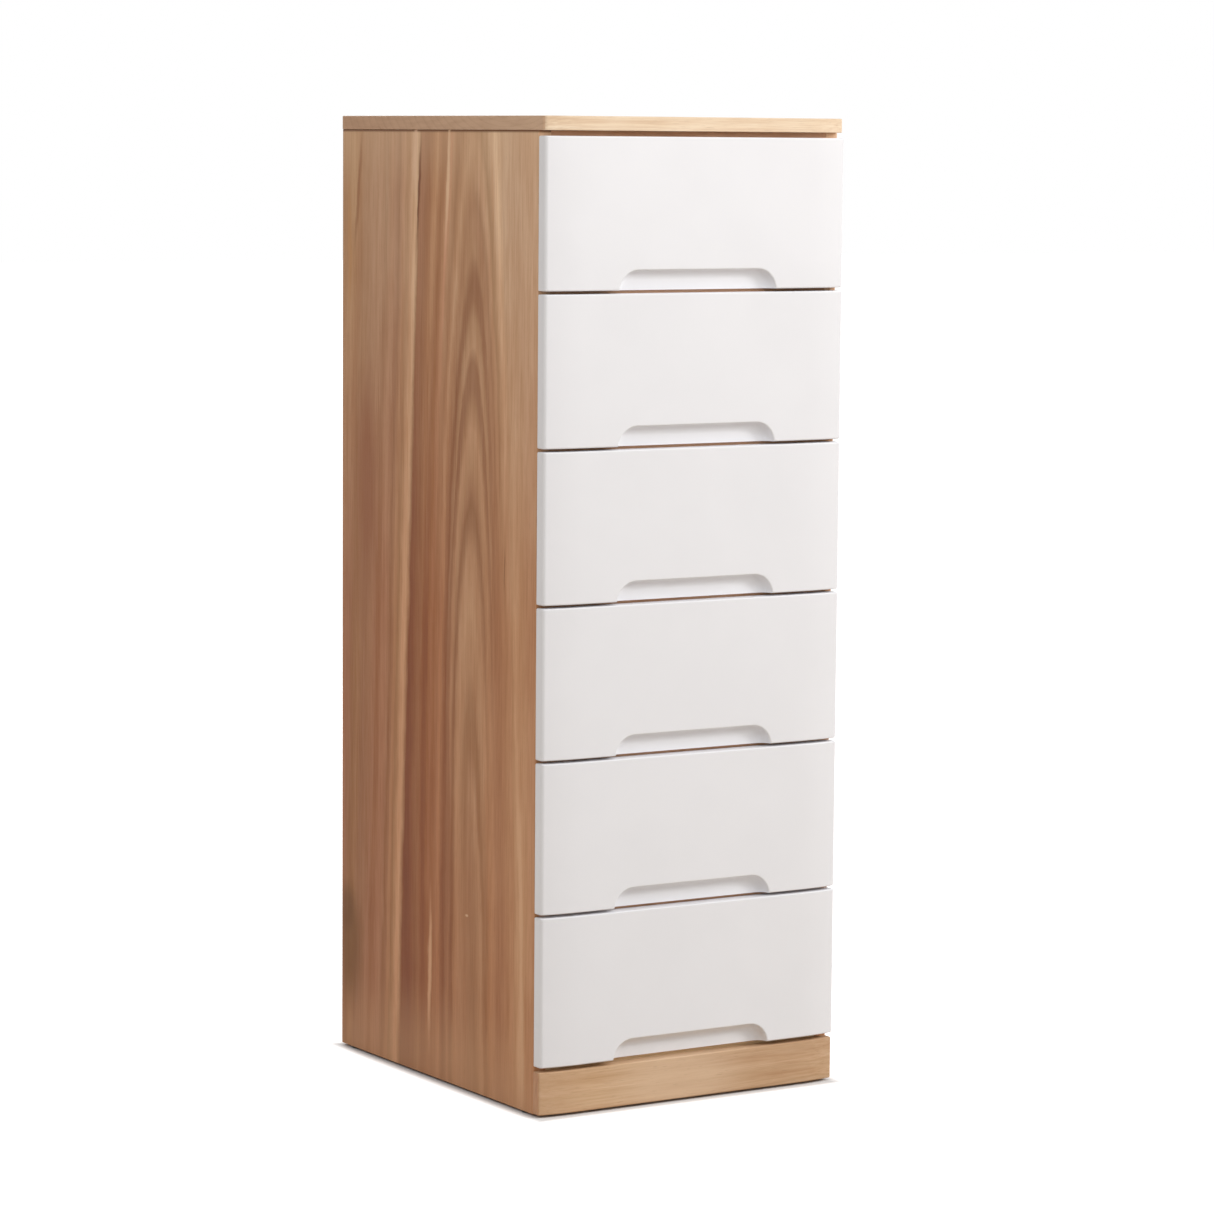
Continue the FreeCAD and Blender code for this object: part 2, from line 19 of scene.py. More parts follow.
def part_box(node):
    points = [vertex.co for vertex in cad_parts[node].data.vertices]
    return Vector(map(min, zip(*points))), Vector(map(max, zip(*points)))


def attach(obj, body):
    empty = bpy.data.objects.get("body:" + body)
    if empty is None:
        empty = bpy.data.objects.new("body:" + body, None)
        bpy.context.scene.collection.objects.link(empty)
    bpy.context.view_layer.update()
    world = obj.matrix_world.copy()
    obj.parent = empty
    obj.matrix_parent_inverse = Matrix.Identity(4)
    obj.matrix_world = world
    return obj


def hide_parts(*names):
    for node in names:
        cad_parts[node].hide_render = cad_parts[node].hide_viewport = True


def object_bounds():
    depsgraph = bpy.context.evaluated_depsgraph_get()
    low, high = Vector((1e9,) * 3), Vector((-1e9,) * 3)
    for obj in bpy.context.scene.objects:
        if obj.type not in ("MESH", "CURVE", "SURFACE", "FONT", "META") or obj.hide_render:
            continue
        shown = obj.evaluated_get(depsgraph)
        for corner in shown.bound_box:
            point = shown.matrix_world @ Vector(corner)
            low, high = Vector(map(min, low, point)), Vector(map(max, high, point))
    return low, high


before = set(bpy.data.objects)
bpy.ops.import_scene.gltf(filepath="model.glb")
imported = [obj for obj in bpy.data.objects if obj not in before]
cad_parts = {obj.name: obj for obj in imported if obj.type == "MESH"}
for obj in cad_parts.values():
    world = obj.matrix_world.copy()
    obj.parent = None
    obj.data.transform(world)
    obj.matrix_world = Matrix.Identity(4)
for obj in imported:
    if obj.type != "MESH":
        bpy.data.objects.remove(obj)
CAD_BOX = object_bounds()

MM = 0.001
NEAR = 0.01 * MM
SHARP = math.radians(40)
FLAT = math.radians(1)
RAMP_HOLDS = 32
log = logging.getLogger("chest")


class Axis(Enum):
    """The three directions of the frame."""

    X = 0
    Y = 1
    Z = 2

    @property
    def unit(self) -> Vector:
        """The unit vector along the axis."""
        return Vector([float(number == self.value) for number in range(3)])


class Hand(Enum):
    """The side of the chest that something is on, as the sign of its X."""

    LEFT = -1
    RIGHT = 1


class Slot(Enum):
    """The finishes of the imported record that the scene's pieces have."""

    NATURAL_WOOD = "natural_wood"
    INNER_WOOD = "inner_wood"
    PLYWOOD = "plywood"
    WHITE_LACQUER = "white_lacquer"
    ZINC_STEEL = "zinc_steel"
    SCREW_STEEL = "screw_steel"
    NYLON = "nylon"


class Box(NamedTuple):
    """A box along the axes, by its lowest and highest corners in metres."""

    low: Vector
    high: Vector

    @property
    def size(self) -> Vector:
        """The box's three edge lengths."""
        return self.high - self.low

    @property
    def centre(self) -> Vector:
        """The box's middle."""
        return (self.low + self.high) / 2

    @property
    def outer_x(self) -> float:
        """The X of the face that looks away from the middle of the chest."""
        return self.high.x if self.centre.x > 0 else self.low.x

    @property
    def inner_x(self) -> float:
        """The X of the face that looks to the middle of the chest."""
        return self.low.x if self.centre.x > 0 else self.high.x


def box_of(node: str) -> Box:
    """The box round a node of the frame."""
    return Box(*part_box(node))


def solids_of(node: str) -> list[Box]:
    """Finds the separate solids of a node of the frame.

    Args:
        node: the node's name.

    Returns:
        One box for each solid, from the lowest up, then front to back, then left to right.
    """
    mesh = bmesh.new()
    mesh.from_mesh(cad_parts[node].data)
    bmesh.ops.remove_doubles(mesh, verts=mesh.verts, dist=NEAR)
    waiting = set(mesh.verts)
    found = []
    while waiting:
        island, edge_of_island = [], [waiting.pop()]
        while edge_of_island:
            vert = edge_of_island.pop()
            island.append(vert.co.copy())
            for edge in vert.link_edges:
                other = edge.other_vert(vert)
                if other in waiting:
                    waiting.remove(other)
                    edge_of_island.append(other)
        corners = [[pick(point[axis] for point in island) for axis in range(3)] for pick in (min, max)]
        found.append(Box(Vector(corners[0]), Vector(corners[1])))
    mesh.free()
    return sorted(found, key=lambda box: [round(box.centre[axis], 4) for axis in (2, 1, 0)])


def new_object(name: str, data: ID) -> Object:
    """Puts an object in the scene.

    Args:
        name: the object's name.
        data: its mesh, lamp or camera.

    Returns:
        The object.
    """
    made = bpy.data.objects.new(name, data)
    bpy.context.scene.collection.objects.link(made)
    return made


# ---------------------------------------------------------------- shaping


def verts_in(made: Iterable[Any]) -> list[BMVert]:
    """The vertices among what an operator made."""
    return [item for item in made if isinstance(item, BMVert)]


class Pen:
    """Draws one outline of edges in a mesh, from point to point."""

    def __init__(self, mesh: BMesh, start: Vector) -> None:
        """Puts the pen down at a point."""
        self.mesh = mesh
        self.tip = bmesh.ops.create_vert(mesh, co=start)["vert"][0]
        self.first = self.tip
        self.edges: list[BMEdge] = []

    def line(self, end: Vector) -> None:
        """Draws a straight edge to a point.

        Args:
            end: the point.
        """
        made = bmesh.ops.extrude_vert_indiv(self.mesh, verts=[self.tip])
        self.tip = made["verts"][0]
        self.tip.co = end
        self.edges += made["edges"]

    def arc(self, centre: Vector, axis: Vector, angle: float, steps: int) -> None:
        """Draws an arc from where the pen is.

        Args:
            centre: the arc's centre.
            axis: the axis that it turns about.
            angle: how far it turns, in radians.
            steps: how many edges it has.
        """
        before = set(self.mesh.edges)
        made = bmesh.ops.spin(
            self.mesh, geom=[self.tip], cent=centre, axis=axis, dvec=(0, 0, 0),
            angle=angle, steps=steps, use_merge=False, use_duplicate=False)
        self.tip = verts_in(made["geom_last"])[0]
        self.edges += [edge for edge in self.mesh.edges if edge not in before]

    def close(self) -> list[BMEdge]:
        """Joins the end to the start and gives the outline's edges."""
        self.edges += [self.mesh.edges.new((self.tip, self.first))]
        return self.edges

    def fill(self) -> BMFace:
        """Closes the outline and fills it with one face."""
        return bmesh.ops.contextual_create(self.mesh, geom=self.close())["faces"][0]


class Shape:
    """A mesh in the making, worked with bmesh operators."""

    def __init__(self) -> None:
        """Starts with nothing."""
        self.mesh = bmesh.new()

    def block(self, box: Box) -> list[BMEdge]:
        """Adds a block.

        Args:
            box: the block's extent.

        Returns:
            The block's edges.
        """
        place = Matrix.Translation(box.centre) @ Matrix.Diagonal((*box.size, 1.0))
        made = bmesh.ops.create_cube(self.mesh, size=1.0, matrix=place)
        return list({edge for vert in made["verts"] for edge in vert.link_edges})

    def board(self, box: Box, radius: float, segments: int = 2) -> None:
        """Adds a block whose edges are all eased by one radius."""
        self.soften(self.block(box), radius, segments)

    def soften(self, edges: Iterable[BMEdge], radius: float, segments: int = 4) -> None:
        """Rounds edges.

        Args:
            edges: the edges to round.
            radius: the rounding's radius.
            segments: how many strips the rounding has.
        """
        bmesh.ops.bevel(
            self.mesh, geom=list(edges), offset=radius, offset_type="OFFSET", affect="EDGES",
            segments=segments, profile=0.5, material=-1, clamp_overlap=True, loop_slide=True)

    def push(self, faces: Iterable[BMFace], way: Vector) -> None:
        """Extrudes faces along a vector."""
        made = bmesh.ops.extrude_face_region(self.mesh, geom=list(faces))["geom"]
        bmesh.ops.translate(self.mesh, vec=way, verts=verts_in(made))

    def cut(self, axis: Axis, places: Iterable[float]) -> None:
        """Divides every face where planes across an axis meet it.

        Args:
            axis: the axis.
            places: where on it the planes lie.
        """
        for place in places:
            everything = [*self.mesh.verts, *self.mesh.edges, *self.mesh.faces]
            bmesh.ops.bisect_plane(
                self.mesh, geom=everything, dist=NEAR, plane_co=axis.unit * place, plane_no=axis.unit)

    def faces_where(self, test: Callable[[Vector, Vector], bool]) -> list[BMFace]:
        """The faces whose middle and normal pass a test."""
        self.mesh.normal_update()
        return [face for face in self.mesh.faces if test(face.calc_center_median(), face.normal)]

    def edges_where(self, test: Callable[[Vector, Vector], bool]) -> list[BMEdge]:
        """The edges whose two ends pass a test."""
        return [edge for edge in self.mesh.edges if test(edge.verts[0].co, edge.verts[1].co)]

    def pocket(self, box: Box, axis: Axis, depth: float) -> None:
        """Sinks a rectangle of a flat surface.

        Args:
            box: the pocket's extent along the two other axes.
            axis: the axis across the surface.
            depth: how far the rectangle moves along that axis.
        """
        others = [other.value for other in Axis if other is not axis]
        for other in others:
            self.cut(Axis(other), (box.low[other], box.high[other]))

        def inside(middle: Vector, _normal: Vector) -> bool:
            level = abs(middle[axis.value] - box.low[axis.value]) < NEAR
            return level and all(box.low[other] < middle[other] < box.high[other] for other in others)
        self.push(self.faces_where(inside), axis.unit * depth)

    def add(self, other: "Shape", place: Matrix = Matrix.Identity(4)) -> None:
        """Adds a copy of another shape.

        Args:
            other: the shape.
            place: where the copy goes.
        """
        data = bpy.data.meshes.new("copy")
        other.mesh.to_mesh(data)
        data.transform(place)
        self.mesh.from_mesh(data)
        bpy.data.meshes.remove(data)

    def finish(self, name: str, body: str, slot: Slot, materials: list[Material], node: str) -> None:
        """Makes the shape a piece of the chest.

        Args:
            name: the piece's name.
            body: the body that it rides on.
            slot: the record's finish that it has; not used.
            materials: its materials; a face's index picks one.
            node: the node of the frame that it stands for.
        """
        bmesh.ops.remove_doubles(self.mesh, verts=self.mesh.verts, dist=NEAR)
        bmesh.ops.recalc_face_normals(self.mesh, faces=self.mesh.faces)
        for face in self.mesh.faces:
            face.smooth = True
        for edge in self.mesh.edges:
            edge.smooth = len(edge.link_faces) == 2 and edge.calc_face_angle(0.0) < SHARP
        data = bpy.data.meshes.new(name)
        self.mesh.to_mesh(data)
        self.mesh.free()
        for material in materials:
            data.materials.append(material)
        piece = new_object(name, data)
        piece.modifiers.new("even_shading", "WEIGHTED_NORMAL").keep_sharp = True
        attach(piece, body)
        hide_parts(node)
        log.info("%s rides on %s: %d faces", name, body, len(data.polygons))


# ---------------------------------------------------------------- finishes

Inputs = dict[int | str, Any] | tuple[Any, ...]
Stops = tuple[tuple[float, str], ...]
AddNode = Callable[..., Node]
Source = Node | NodeSocket


def linear(code: str) -> tuple[float, float, float, float]:
    """Turns an sRGB hex colour, such as d8c0a0, to linear light."""
    parts = [int(code[at:at + 2], 16) / 255 for at in (0, 2, 4)]
    bright = [part / 12.92 if part <= 0.04045 else ((part + 0.055) / 1.055) ** 2.4 for part in parts]
    return (*bright, 1.0)


def add_node(tree: NodeTree, kind: str, inputs: Inputs = (), stops: Stops = (), **settings: Any) -> Node:
    """Adds a node with its settings and links.

    Args:
        tree: the node tree.
        kind: the node's type, without its ShaderNode prefix.
        inputs: what the first sockets take in order, or the named ones: a value, a hex colour,
            or a node or an output to link.
        stops: a colour ramp's stops, each a place and a hex colour.
        settings: the node's other properties.

    Returns:
        The node.
    """
    node = tree.nodes.new("ShaderNode" + kind)
    for name, value in settings.items():
        setattr(node, name, value)
    for key, value in (inputs if isinstance(inputs, dict) else dict(enumerate(inputs))).items():
        source = value.outputs[0] if isinstance(value, Node) else value
        if isinstance(source, NodeSocket):
            tree.links.new(source, node.inputs[key])
        else:
            node.inputs[key].default_value = linear(value) if isinstance(value, str) else value
    if stops:
        elements = node.color_ramp.elements
        while len(elements) < len(stops):
            elements.new(1.0)
        for element, (place, code) in zip(elements, stops):
            element.position, element.color = place, linear(code)
    return node


@dataclass(frozen=True)
class Grain:
    """How the growth rings lie in a board, in millimetres.

    The rings are circles round a pith line outside the board.  The line leans
    towards one end of the board, so that the rings draw arches on its face.
    """

    along: Axis
    across: Axis
    through: Axis
    face: float
    centre: float
    low: float
    high: float
    depth_low: float
    depth_high: float


@dataclass(frozen=True)
class Mark:
    """One long mark on the wood, in millimetres: a fleck, streak or stain of the wood, or a band of painted light or
    painted shade.
    """

    across: float
    along: float
    half_width: float
    half_length: float
    colour: str
    strength: float
    lean: float = 0.0


@dataclass(frozen=True)
class Tones:
    """The wood's colours by distance in millimetres, at a board's foot and at its head."""

    foot: Stops
    head: Stops


@dataclass(frozen=True)
class Finish:
    """One finish, made of nodes."""

    name: str

    def make(self) -> Material:
        """Makes the material."""
        material = bpy.data.materials.new(self.name)
        material.use_nodes = True
        material.node_tree.nodes.clear()
        add = partial(add_node, material.node_tree)
        add("OutputMaterial", (self.dress(add),))
        return material

    def dress(self, add: AddNode) -> Node:
        """Builds the finish's nodes and gives their shader."""
        raise NotImplementedError

    def millimetres(self, add: AddNode) -> Node:
        """Object coordinates in millimetres."""
        return add("VectorMath", {0: add("TexCoord").outputs["Object"], "Scale": 1 / MM}, operation="SCALE")

    def noise(self, add: AddNode, point: Node, along: Axis, across_mm: float, along_mm: float,
              seed: float = 0.0, **sockets: float) -> Node:
        """Adds noise whose patches are stretched along an axis.

        Args:
            add: adds a node to the finish.
            point: the place in millimetres.
            along: the axis.
            across_mm: how wide the patches are.
            along_mm: how long they are along the axis.
            seed: moves the pattern.
            sockets: the noise's other sockets, such as Detail.

        Returns:
            The noise, from 0 to 1.
        """
        scale = [1 / across_mm] * 3
        scale[along.value] = 1 / along_mm
        where = add("VectorMath", (point, scale, (seed,) * 3), operation="MULTIPLY_ADD")
        return add("TexNoise", {"Vector": where, "Scale": 1.0, **sockets})

    def distance(self, add: AddNode, across: Source, away: Source) -> NodeSocket:
        """How far a point is from a centre, by its two offsets from it."""
        offsets = add("CombineXYZ", (across, away))
        return add("VectorMath", (offsets,), operation="LENGTH").outputs["Value"]

    def below_face(self, add: AddNode, parts: Node, grain: Grain) -> Node:
        """How deep a point of a board lies under the board's face."""
        outward = add("Math", (parts.outputs[grain.through.value],), operation="ABSOLUTE")
        return add("Math", (grain.face, outward), operation="SUBTRACT")


@dataclass(frozen=True)
class OiledWood(Finish):
    """Heartwood boards glued to a panel, planed, sanded and oiled.

    The eye sees nested arches with sharp outer edges that fade inwards,
    straight stripes beside them, a paler board with a dark seam next to it,
    and fine fibres and pores along the grain under a satin oil.  Lengths are
    in millimetres.
    """

    grain: Grain
    near_rings: Tones
    far_rings: Tones
    second_board: Tones
    seam_low: float = 1000.0
    seam_high: float = 1000.0
    fade_low: float = 550.0
    fade_high: float = 1000.0
    arch_fade: float = 0.0
    arches_within: float = 76.0
    straight_depth: float = 0.0
    bend_length: float = 6.0
    side_blend: float = 20.0
    seam_blend: float = 2.0
    marks: tuple[Mark, ...] = ()
    pale_end: str = "f0cba6"
    pale_from: float = 5000.0
    pale_share: float = 0.0
    middle: str = "c8946f"
    pore_colour: str = "7a4c30"
    pore_share: float = 0.3
    shine: float = 0.12
    depth: float = 1.35
    lift: float = 0.1
    sway: float = 7.0
    sway_width: float = 150.0
    sway_length: float = 300.0
    seed: float = 0.0
    # The grain's smaller waves: how wide, how long and how far aside.
    waves: tuple[tuple[float, float, float], ...] = ((14, 45, 2.8), (3.5, 12, 1.0))
    # Stripes, clouds and fibres that keep the tones uneven: how wide, how long, their shade and its share.
    streaks: tuple[tuple[float, float, str, float], ...] = (
        (7, 160, "e3cfbc", 0.35), (60, 200, "e4d3c4", 0.4), (2.0, 70, "ddc8b4", 0.35))

    def dress(self, add: AddNode) -> Node:
        """Builds rings, boards, marks and fibres.

        Args:
            add: adds a node to the finish.

        Returns:
            The shader.
        """
        grain, point = self.grain, self.millimetres(add)
        stretched = partial(self.noise, add, point, grain.along, seed=self.seed)
        parts = add("SeparateXYZ", (point,))
        along, inside = parts.outputs[grain.along.value], self.below_face(add, parts, grain)
        swayed = parts.outputs[grain.across.value]
        for across_mm, along_mm, reach in ((self.sway_width, self.sway_length, self.sway), *self.waves):
            aside = stretched(across_mm, along_mm, Detail=1.0)
            wander = add("Math", (aside, 2 * reach, -reach), operation="MULTIPLY_ADD")
            swayed = add("Math", (swayed, wander), operation="ADD")
        offset = add("Math", (swayed, grain.centre), operation="SUBTRACT")

        def rings(lean: Node, colours: Tones) -> Node:
            depth = add("Math", (lean, inside), operation="ADD")
            radius = self.distance(add, offset, depth)
            # An inner arch ends lower down, and keeps the head's tones down to there.
            kept = add("Math", (radius, -self.arch_fade, self.arches_within * self.arch_fade),
                       operation="MULTIPLY_ADD")
            above = add("Math", (kept, 0.0), operation="MAXIMUM")
            return self.toned(add, radius, colours, add("Math", (along, above), operation="ADD"))

        # On the far side the rings run straight down to the foot.
        near_lean = add("MapRange", (along, grain.low, grain.high, grain.depth_low, grain.depth_high), clamp=False)
        far_lean = add("Math", (near_lean, self.straight_depth, self.bend_length), operation="SMOOTH_MAX")
        far_side = add("Math", (offset, 1 / self.side_blend, 0.5), operation="MULTIPLY_ADD", use_clamp=True)
        arches = add("MixRGB", (far_side, rings(near_lean, self.near_rings), rings(far_lean, self.far_rings)))

        # The second board starts at a seam that leans as the first board's stripes do.
        seam = add("MapRange", (along, grain.low, grain.high, self.seam_low, self.seam_high), clamp=False)
        past = add("Math", (swayed, seam), operation="SUBTRACT")
        beyond = add("Math", (past, 1 / self.seam_blend, 0.5), operation="MULTIPLY_ADD", use_clamp=True)
        wood = add("MixRGB", (beyond, arches, self.toned(add, past, self.second_board, along)))

        # The oil deepens the tones about their middle and lets a little more light through.
        middle = [(1 + self.lift - self.depth) * part for part in linear(self.middle)[:3]]
        wood = add("VectorMath", (wood, (self.depth,) * 3, middle), operation="MULTIPLY_ADD")
        for across_mm, along_mm, low, share in self.streaks:
            streak = stretched(across_mm, along_mm, Detail=3.0, Roughness=0.6)
            shade = add("ValToRGB", (streak,), stops=((0.36, low), (0.58, "ffffff")))
            wood = add("MixRGB", (share, wood, shade), blend_type="MULTIPLY")
        toward_end = add("MapRange", (along, self.pale_from, grain.high, 0.0, self.pale_share),
                         interpolation_type="SMOOTHSTEP")
        wood = add("MixRGB", (toward_end, wood, self.pale_end))
        for mark in self.marks:
            wood = self.marked(add, wood, swayed, along, mark)

        # Pores about 0.4 mm wide, drawn as coarse as a render can show.
        fibre = stretched(1.3, 60, Detail=2.0)
        pore = add("Math", (stretched(0.8, 15, Detail=1.0), 5.0, -3.2), operation="MULTIPLY_ADD", use_clamp=True)
        filled = add("Math", (pore, self.pore_share), operation="MULTIPLY")
        relief = add("Math", (fibre, pore), operation="SUBTRACT")
        return add("BsdfPrincipled", {
            "Base Color": add("MixRGB", (filled, wood, self.pore_colour)),
            "Roughness": add("Math", (fibre, 0.16, 0.44), operation="MULTIPLY_ADD"),
            "Specular IOR Level": self.shine,
            "Normal": add("Bump", {"Height": relief, "Strength": 0.12, "Distance": 0.05 * MM})})

    def toned(self, add: AddNode, distance: Source, colours: Tones, level: Source) -> Node:
        """Reads a colour by distance, between the tones at the foot and at the head.

        Args:
            add: adds a node to the finish.
            distance: the distance in millimetres.
            colours: the tones.
            level: the place along the grain.

        Returns:
            The colour.
        """
        ends = [self.table(add, distance, stops) for stops in (colours.foot, colours.head)]
        return add("MixRGB", (add("MapRange", (level, self.fade_low, self.fade_high)), *ends))

    def table(self, add: AddNode, distance: Source, stops: Stops) -> Node:
        """Reads a colour from stops at rising distances.

        Args:
            add: adds a node to the finish.
            distance: the distance in millimetres.
            stops: the distances and their colours; what one ramp can't hold goes to further ramps.

        Returns:
            The colour.
        """
        first, rest = stops[:RAMP_HOLDS], stops[RAMP_HOLDS - 1:]
        start, reach = first[0][0], first[-1][0]
        colour = add("ValToRGB", (add("MapRange", (distance, start, reach)),), stops=tuple(
            ((place - start) / (reach - start), code) for place, code in first))
        if len(rest) > 1:
            later = add("Math", (distance, reach), operation="GREATER_THAN")
            colour = add("MixRGB", (later, colour, self.table(add, distance, rest)))
        return colour

    def marked(self, add: AddNode, wood: Node, across: Source, along: Source, mark: Mark) -> Node:
        """Mixes one mark into the wood's colour.

        Args:
            add: adds a node to the finish.
            wood: the colour so far.
            across: the place across the grain.
            along: the place along the grain.
            mark: the mark.

        Returns:
            The colour with the mark.
        """
        up = add("Math", (along, mark.along), operation="SUBTRACT")
        line = add("Math", (up, mark.lean, mark.across), operation="MULTIPLY_ADD")
        aside = add("Math", (across, line), operation="SUBTRACT")
        wide = add("Math", (aside, mark.half_width), operation="DIVIDE")
        high = add("Math", (up, mark.half_length), operation="DIVIDE")
        far = self.distance(add, wide, high)
        inside = add("MapRange", (far, 1.0, 0.25, 0.0, mark.strength), interpolation_type="SMOOTHSTEP")
        return add("MixRGB", (inside, wood, mark.colour))


@dataclass(frozen=True)
class EndGrain(Finish):
    """Oiled end grain.

    The eye sees tan wood with long flat arcs of rings, a few darker patches
    and fine dots where the pores are cut across, under painted shade that
    deepens towards the back.  Lengths are in millimetres.
    """

    grain: Grain
    early: str = "e3bd9a"
    late: str = "bf9573"
    painted_back_shade: str = "eadfd6"
    front: float = -200.0
    back: float = 200.0
    ring: float = 15.0
    flattening: float = 2.5
    ring_share: float = 0.3
    patch_share: float = 0.45
    dot_share: float = 0.3
    bare_share: float = 0.12

    def dress(self, add: AddNode) -> Node:
        """Builds the rings, the patches and the pores.

        Args:
            add: adds a node to the finish.

        Returns:
            The shader.
        """
        grain, point = self.grain, self.millimetres(add)
        stretched = partial(self.noise, add, point, grain.across)
        parts = add("SeparateXYZ", (point,))
        across = parts.outputs[grain.across.value]
        offset = add("Math", (across, grain.centre), operation="SUBTRACT")
        waves = add("Math", (stretched(30, 70, Detail=2.0), 12.0, grain.depth_low), operation="MULTIPLY_ADD")
        depth = add("Math", (self.below_face(add, parts, grain), waves), operation="ADD")
        flattened = add("Math", (depth, self.flattening), operation="MULTIPLY")
        rings = add("Math", (self.distance(add, offset, flattened), self.ring), operation="DIVIDE")
        ring = add("ValToRGB", (add("Math", (rings,), operation="FRACT"),), stops=(
            (0.0, "202020"), (0.6, "606060"), (0.9, "e0e0e0"), (1.0, "202020")))
        patches = add("Math", (stretched(5, 38, Detail=2.0), 2.6, -1.1), operation="MULTIPLY_ADD", use_clamp=True)
        dots = stretched(0.9, 0.9, Detail=1.0)
        patched = add("Math", (patches, self.patch_share), operation="MULTIPLY")
        dotted = add("Math", (dots, self.dot_share, patched), operation="MULTIPLY_ADD")
        ringed = add("Math", (ring, self.ring_share), operation="MULTIPLY")
        together = add("Math", (ringed, dotted), operation="ADD")
        late = add("Math", (together, self.bare_share), operation="SUBTRACT", use_clamp=True)
        wood = add("MixRGB", (late, self.early, self.late))
        # The end grain is painted darker from the front towards the back, as shade.
        to_back = add("MapRange", (across, self.front, self.back))
        return add("BsdfPrincipled", {
            "Base Color": add("MixRGB", (to_back, wood, self.painted_back_shade), blend_type="MULTIPLY"),
            "Roughness": add("Math", (dots, 0.15, 0.5), operation="MULTIPLY_ADD"),
            "Normal": add("Bump", {"Height": dots, "Strength": 0.15, "Distance": 0.05 * MM})})


@dataclass(frozen=True)
class PaleWood(Finish):
    """Pale softwood boards for what lies inside, planed and left bare.

    The eye sees a light cream board with straight, faint, wavy growth lines
    and hardly any shine.
    """

    along: Axis
    early: str = "e6cda6"
    late: str = "c9a477"
    growth_share: float = 0.5
    fibre_share: float = 0.3

    def dress(self, add: AddNode) -> Node:
        """Builds growth lines about 4 mm apart and fibres about 1 mm wide.

        Args:
            add: adds a node to the finish.

        Returns:
            The shader.
        """
        stretched = partial(self.noise, add, self.millimetres(add), self.along)
        lines = stretched(9, 260, Detail=3.0, Roughness=0.6, Distortion=0.4)
        wavy = add("Math", (add("Math", (lines, 9.0), operation="MULTIPLY"),), operation="FRACT")
        growth = add("ValToRGB", (wavy,), stops=(
            (0.0, "303030"), (0.5, "484848"), (0.9, "ffffff"), (1.0, "303030")))
        fibre = stretched(1.2, 50, Detail=2.0)
        faint = add("Math", (fibre, self.fibre_share), operation="MULTIPLY")
        late = add("Math", (growth, self.growth_share, faint), operation="MULTIPLY_ADD", use_clamp=True)
        return add("BsdfPrincipled", {
            "Base Color": add("MixRGB", (late, self.early, self.late)),
            "Roughness": add("Math", (fibre, 0.15, 0.5), operation="MULTIPLY_ADD"),
            "Normal": add("Bump", {"Height": fibre, "Strength": 0.15, "Distance": 0.06 * MM})})


@dataclass(frozen=True)
class Plywood(Finish):
    """Rotary-cut plywood sheet, sanded.

    The eye sees a tan sheet with broad, wandering figure, as the knife
    peeled the log, and a dull surface.
    """

    along: Axis
    early: str = "dcb98a"
    middle: str = "d5ae7c"
    late: str = "bf9463"

    def dress(self, add: AddNode) -> Node:
        """Builds a wandering figure some 30 mm broad and short fibres.

        Args:
            add: adds a node to the finish.

        Returns:
            The shader.
        """
        stretched = partial(self.noise, add, self.millimetres(add), self.along)
        broad = add("Math", (stretched(46, 300, Detail=2.0, Distortion=0.8), 7.0), operation="MULTIPLY")
        tone = add("ValToRGB", (add("Math", (broad,), operation="FRACT"),), stops=(
            (0.0, self.early), (0.6, self.middle), (0.92, self.late), (1.0, self.early)))
        fibre = stretched(1.5, 40, Detail=2.0)
        shade = add("ValToRGB", (fibre,), stops=((0.3, "d9d2ca"), (0.7, "ffffff")))
        return add("BsdfPrincipled", {
            "Base Color": add("MixRGB", (0.6, tone, shade), blend_type="MULTIPLY"), "Roughness": 0.62,
            "Normal": add("Bump", {"Height": fibre, "Strength": 0.15, "Distance": 0.06 * MM})})


@dataclass(frozen=True)
class SprayedLacquer(Finish):
    """White satin lacquer, sprayed on fibreboard.

    The eye sees an even, faintly cool white with soft highlights along the
    rounded edges; the spray left an orange peel a few millimetres across.
    """

    colour: str = "eeeef1"

    def dress(self, add: AddNode) -> Node:
        """Builds the orange peel and a very slight cloudiness.

        Args:
            add: adds a node to the finish.

        Returns:
            The shader.
        """
        point = self.millimetres(add)
        peel = add("TexNoise", {"Vector": point, "Scale": 1 / 2.5, "Detail": 1.0})
        cloud = add("TexNoise", {"Vector": point, "Scale": 1 / 90, "Detail": 2.0})
        shade = add("ValToRGB", (cloud,), stops=((0.35, "fdfdfd"), (0.65, "ffffff")))
        return add("BsdfPrincipled", {
            "Base Color": add("MixRGB", (1.0, self.colour, shade), blend_type="MULTIPLY"),
            "Roughness": add("Math", (cloud, 0.06, 0.33), operation="MULTIPLY_ADD"),
            "Normal": add("Bump", {"Height": peel, "Strength": 0.06, "Distance": 0.03 * MM})})


@dataclass(frozen=True)
class RolledSteel(Finish):
    """Zinc-plated sheet steel, rolled to shape.

    The eye sees a cool grey metal with faint streaks along its length and
    cloudy patches of passivation.
    """

    colour: str = "b2b5b7"
    shaded: str = "9da1a4"
    roughness: float = 0.34

    def dress(self, add: AddNode) -> Node:
        """Builds rolling streaks and cloudy patches.

        Args:
            add: adds a node to the finish.

        Returns:
            The shader.
        """
        point = self.millimetres(add)
        streak = self.noise(add, point, Axis.Y, 1.2, 60, Detail=2.0)
        cloud = add("TexNoise", {"Vector": point, "Scale": 1 / 14, "Detail": 3.0})
        return add("BsdfPrincipled", {
            "Base Color": add("ValToRGB", (cloud,), stops=((0.3, self.shaded), (0.7, self.colour))),
            "Metallic": 1.0,
            "Roughness": add("Math", (streak, 0.18, self.roughness - 0.09), operation="MULTIPLY_ADD"),
            "Normal": add("Bump", {"Height": streak, "Strength": 0.1, "Distance": 0.02 * MM})})


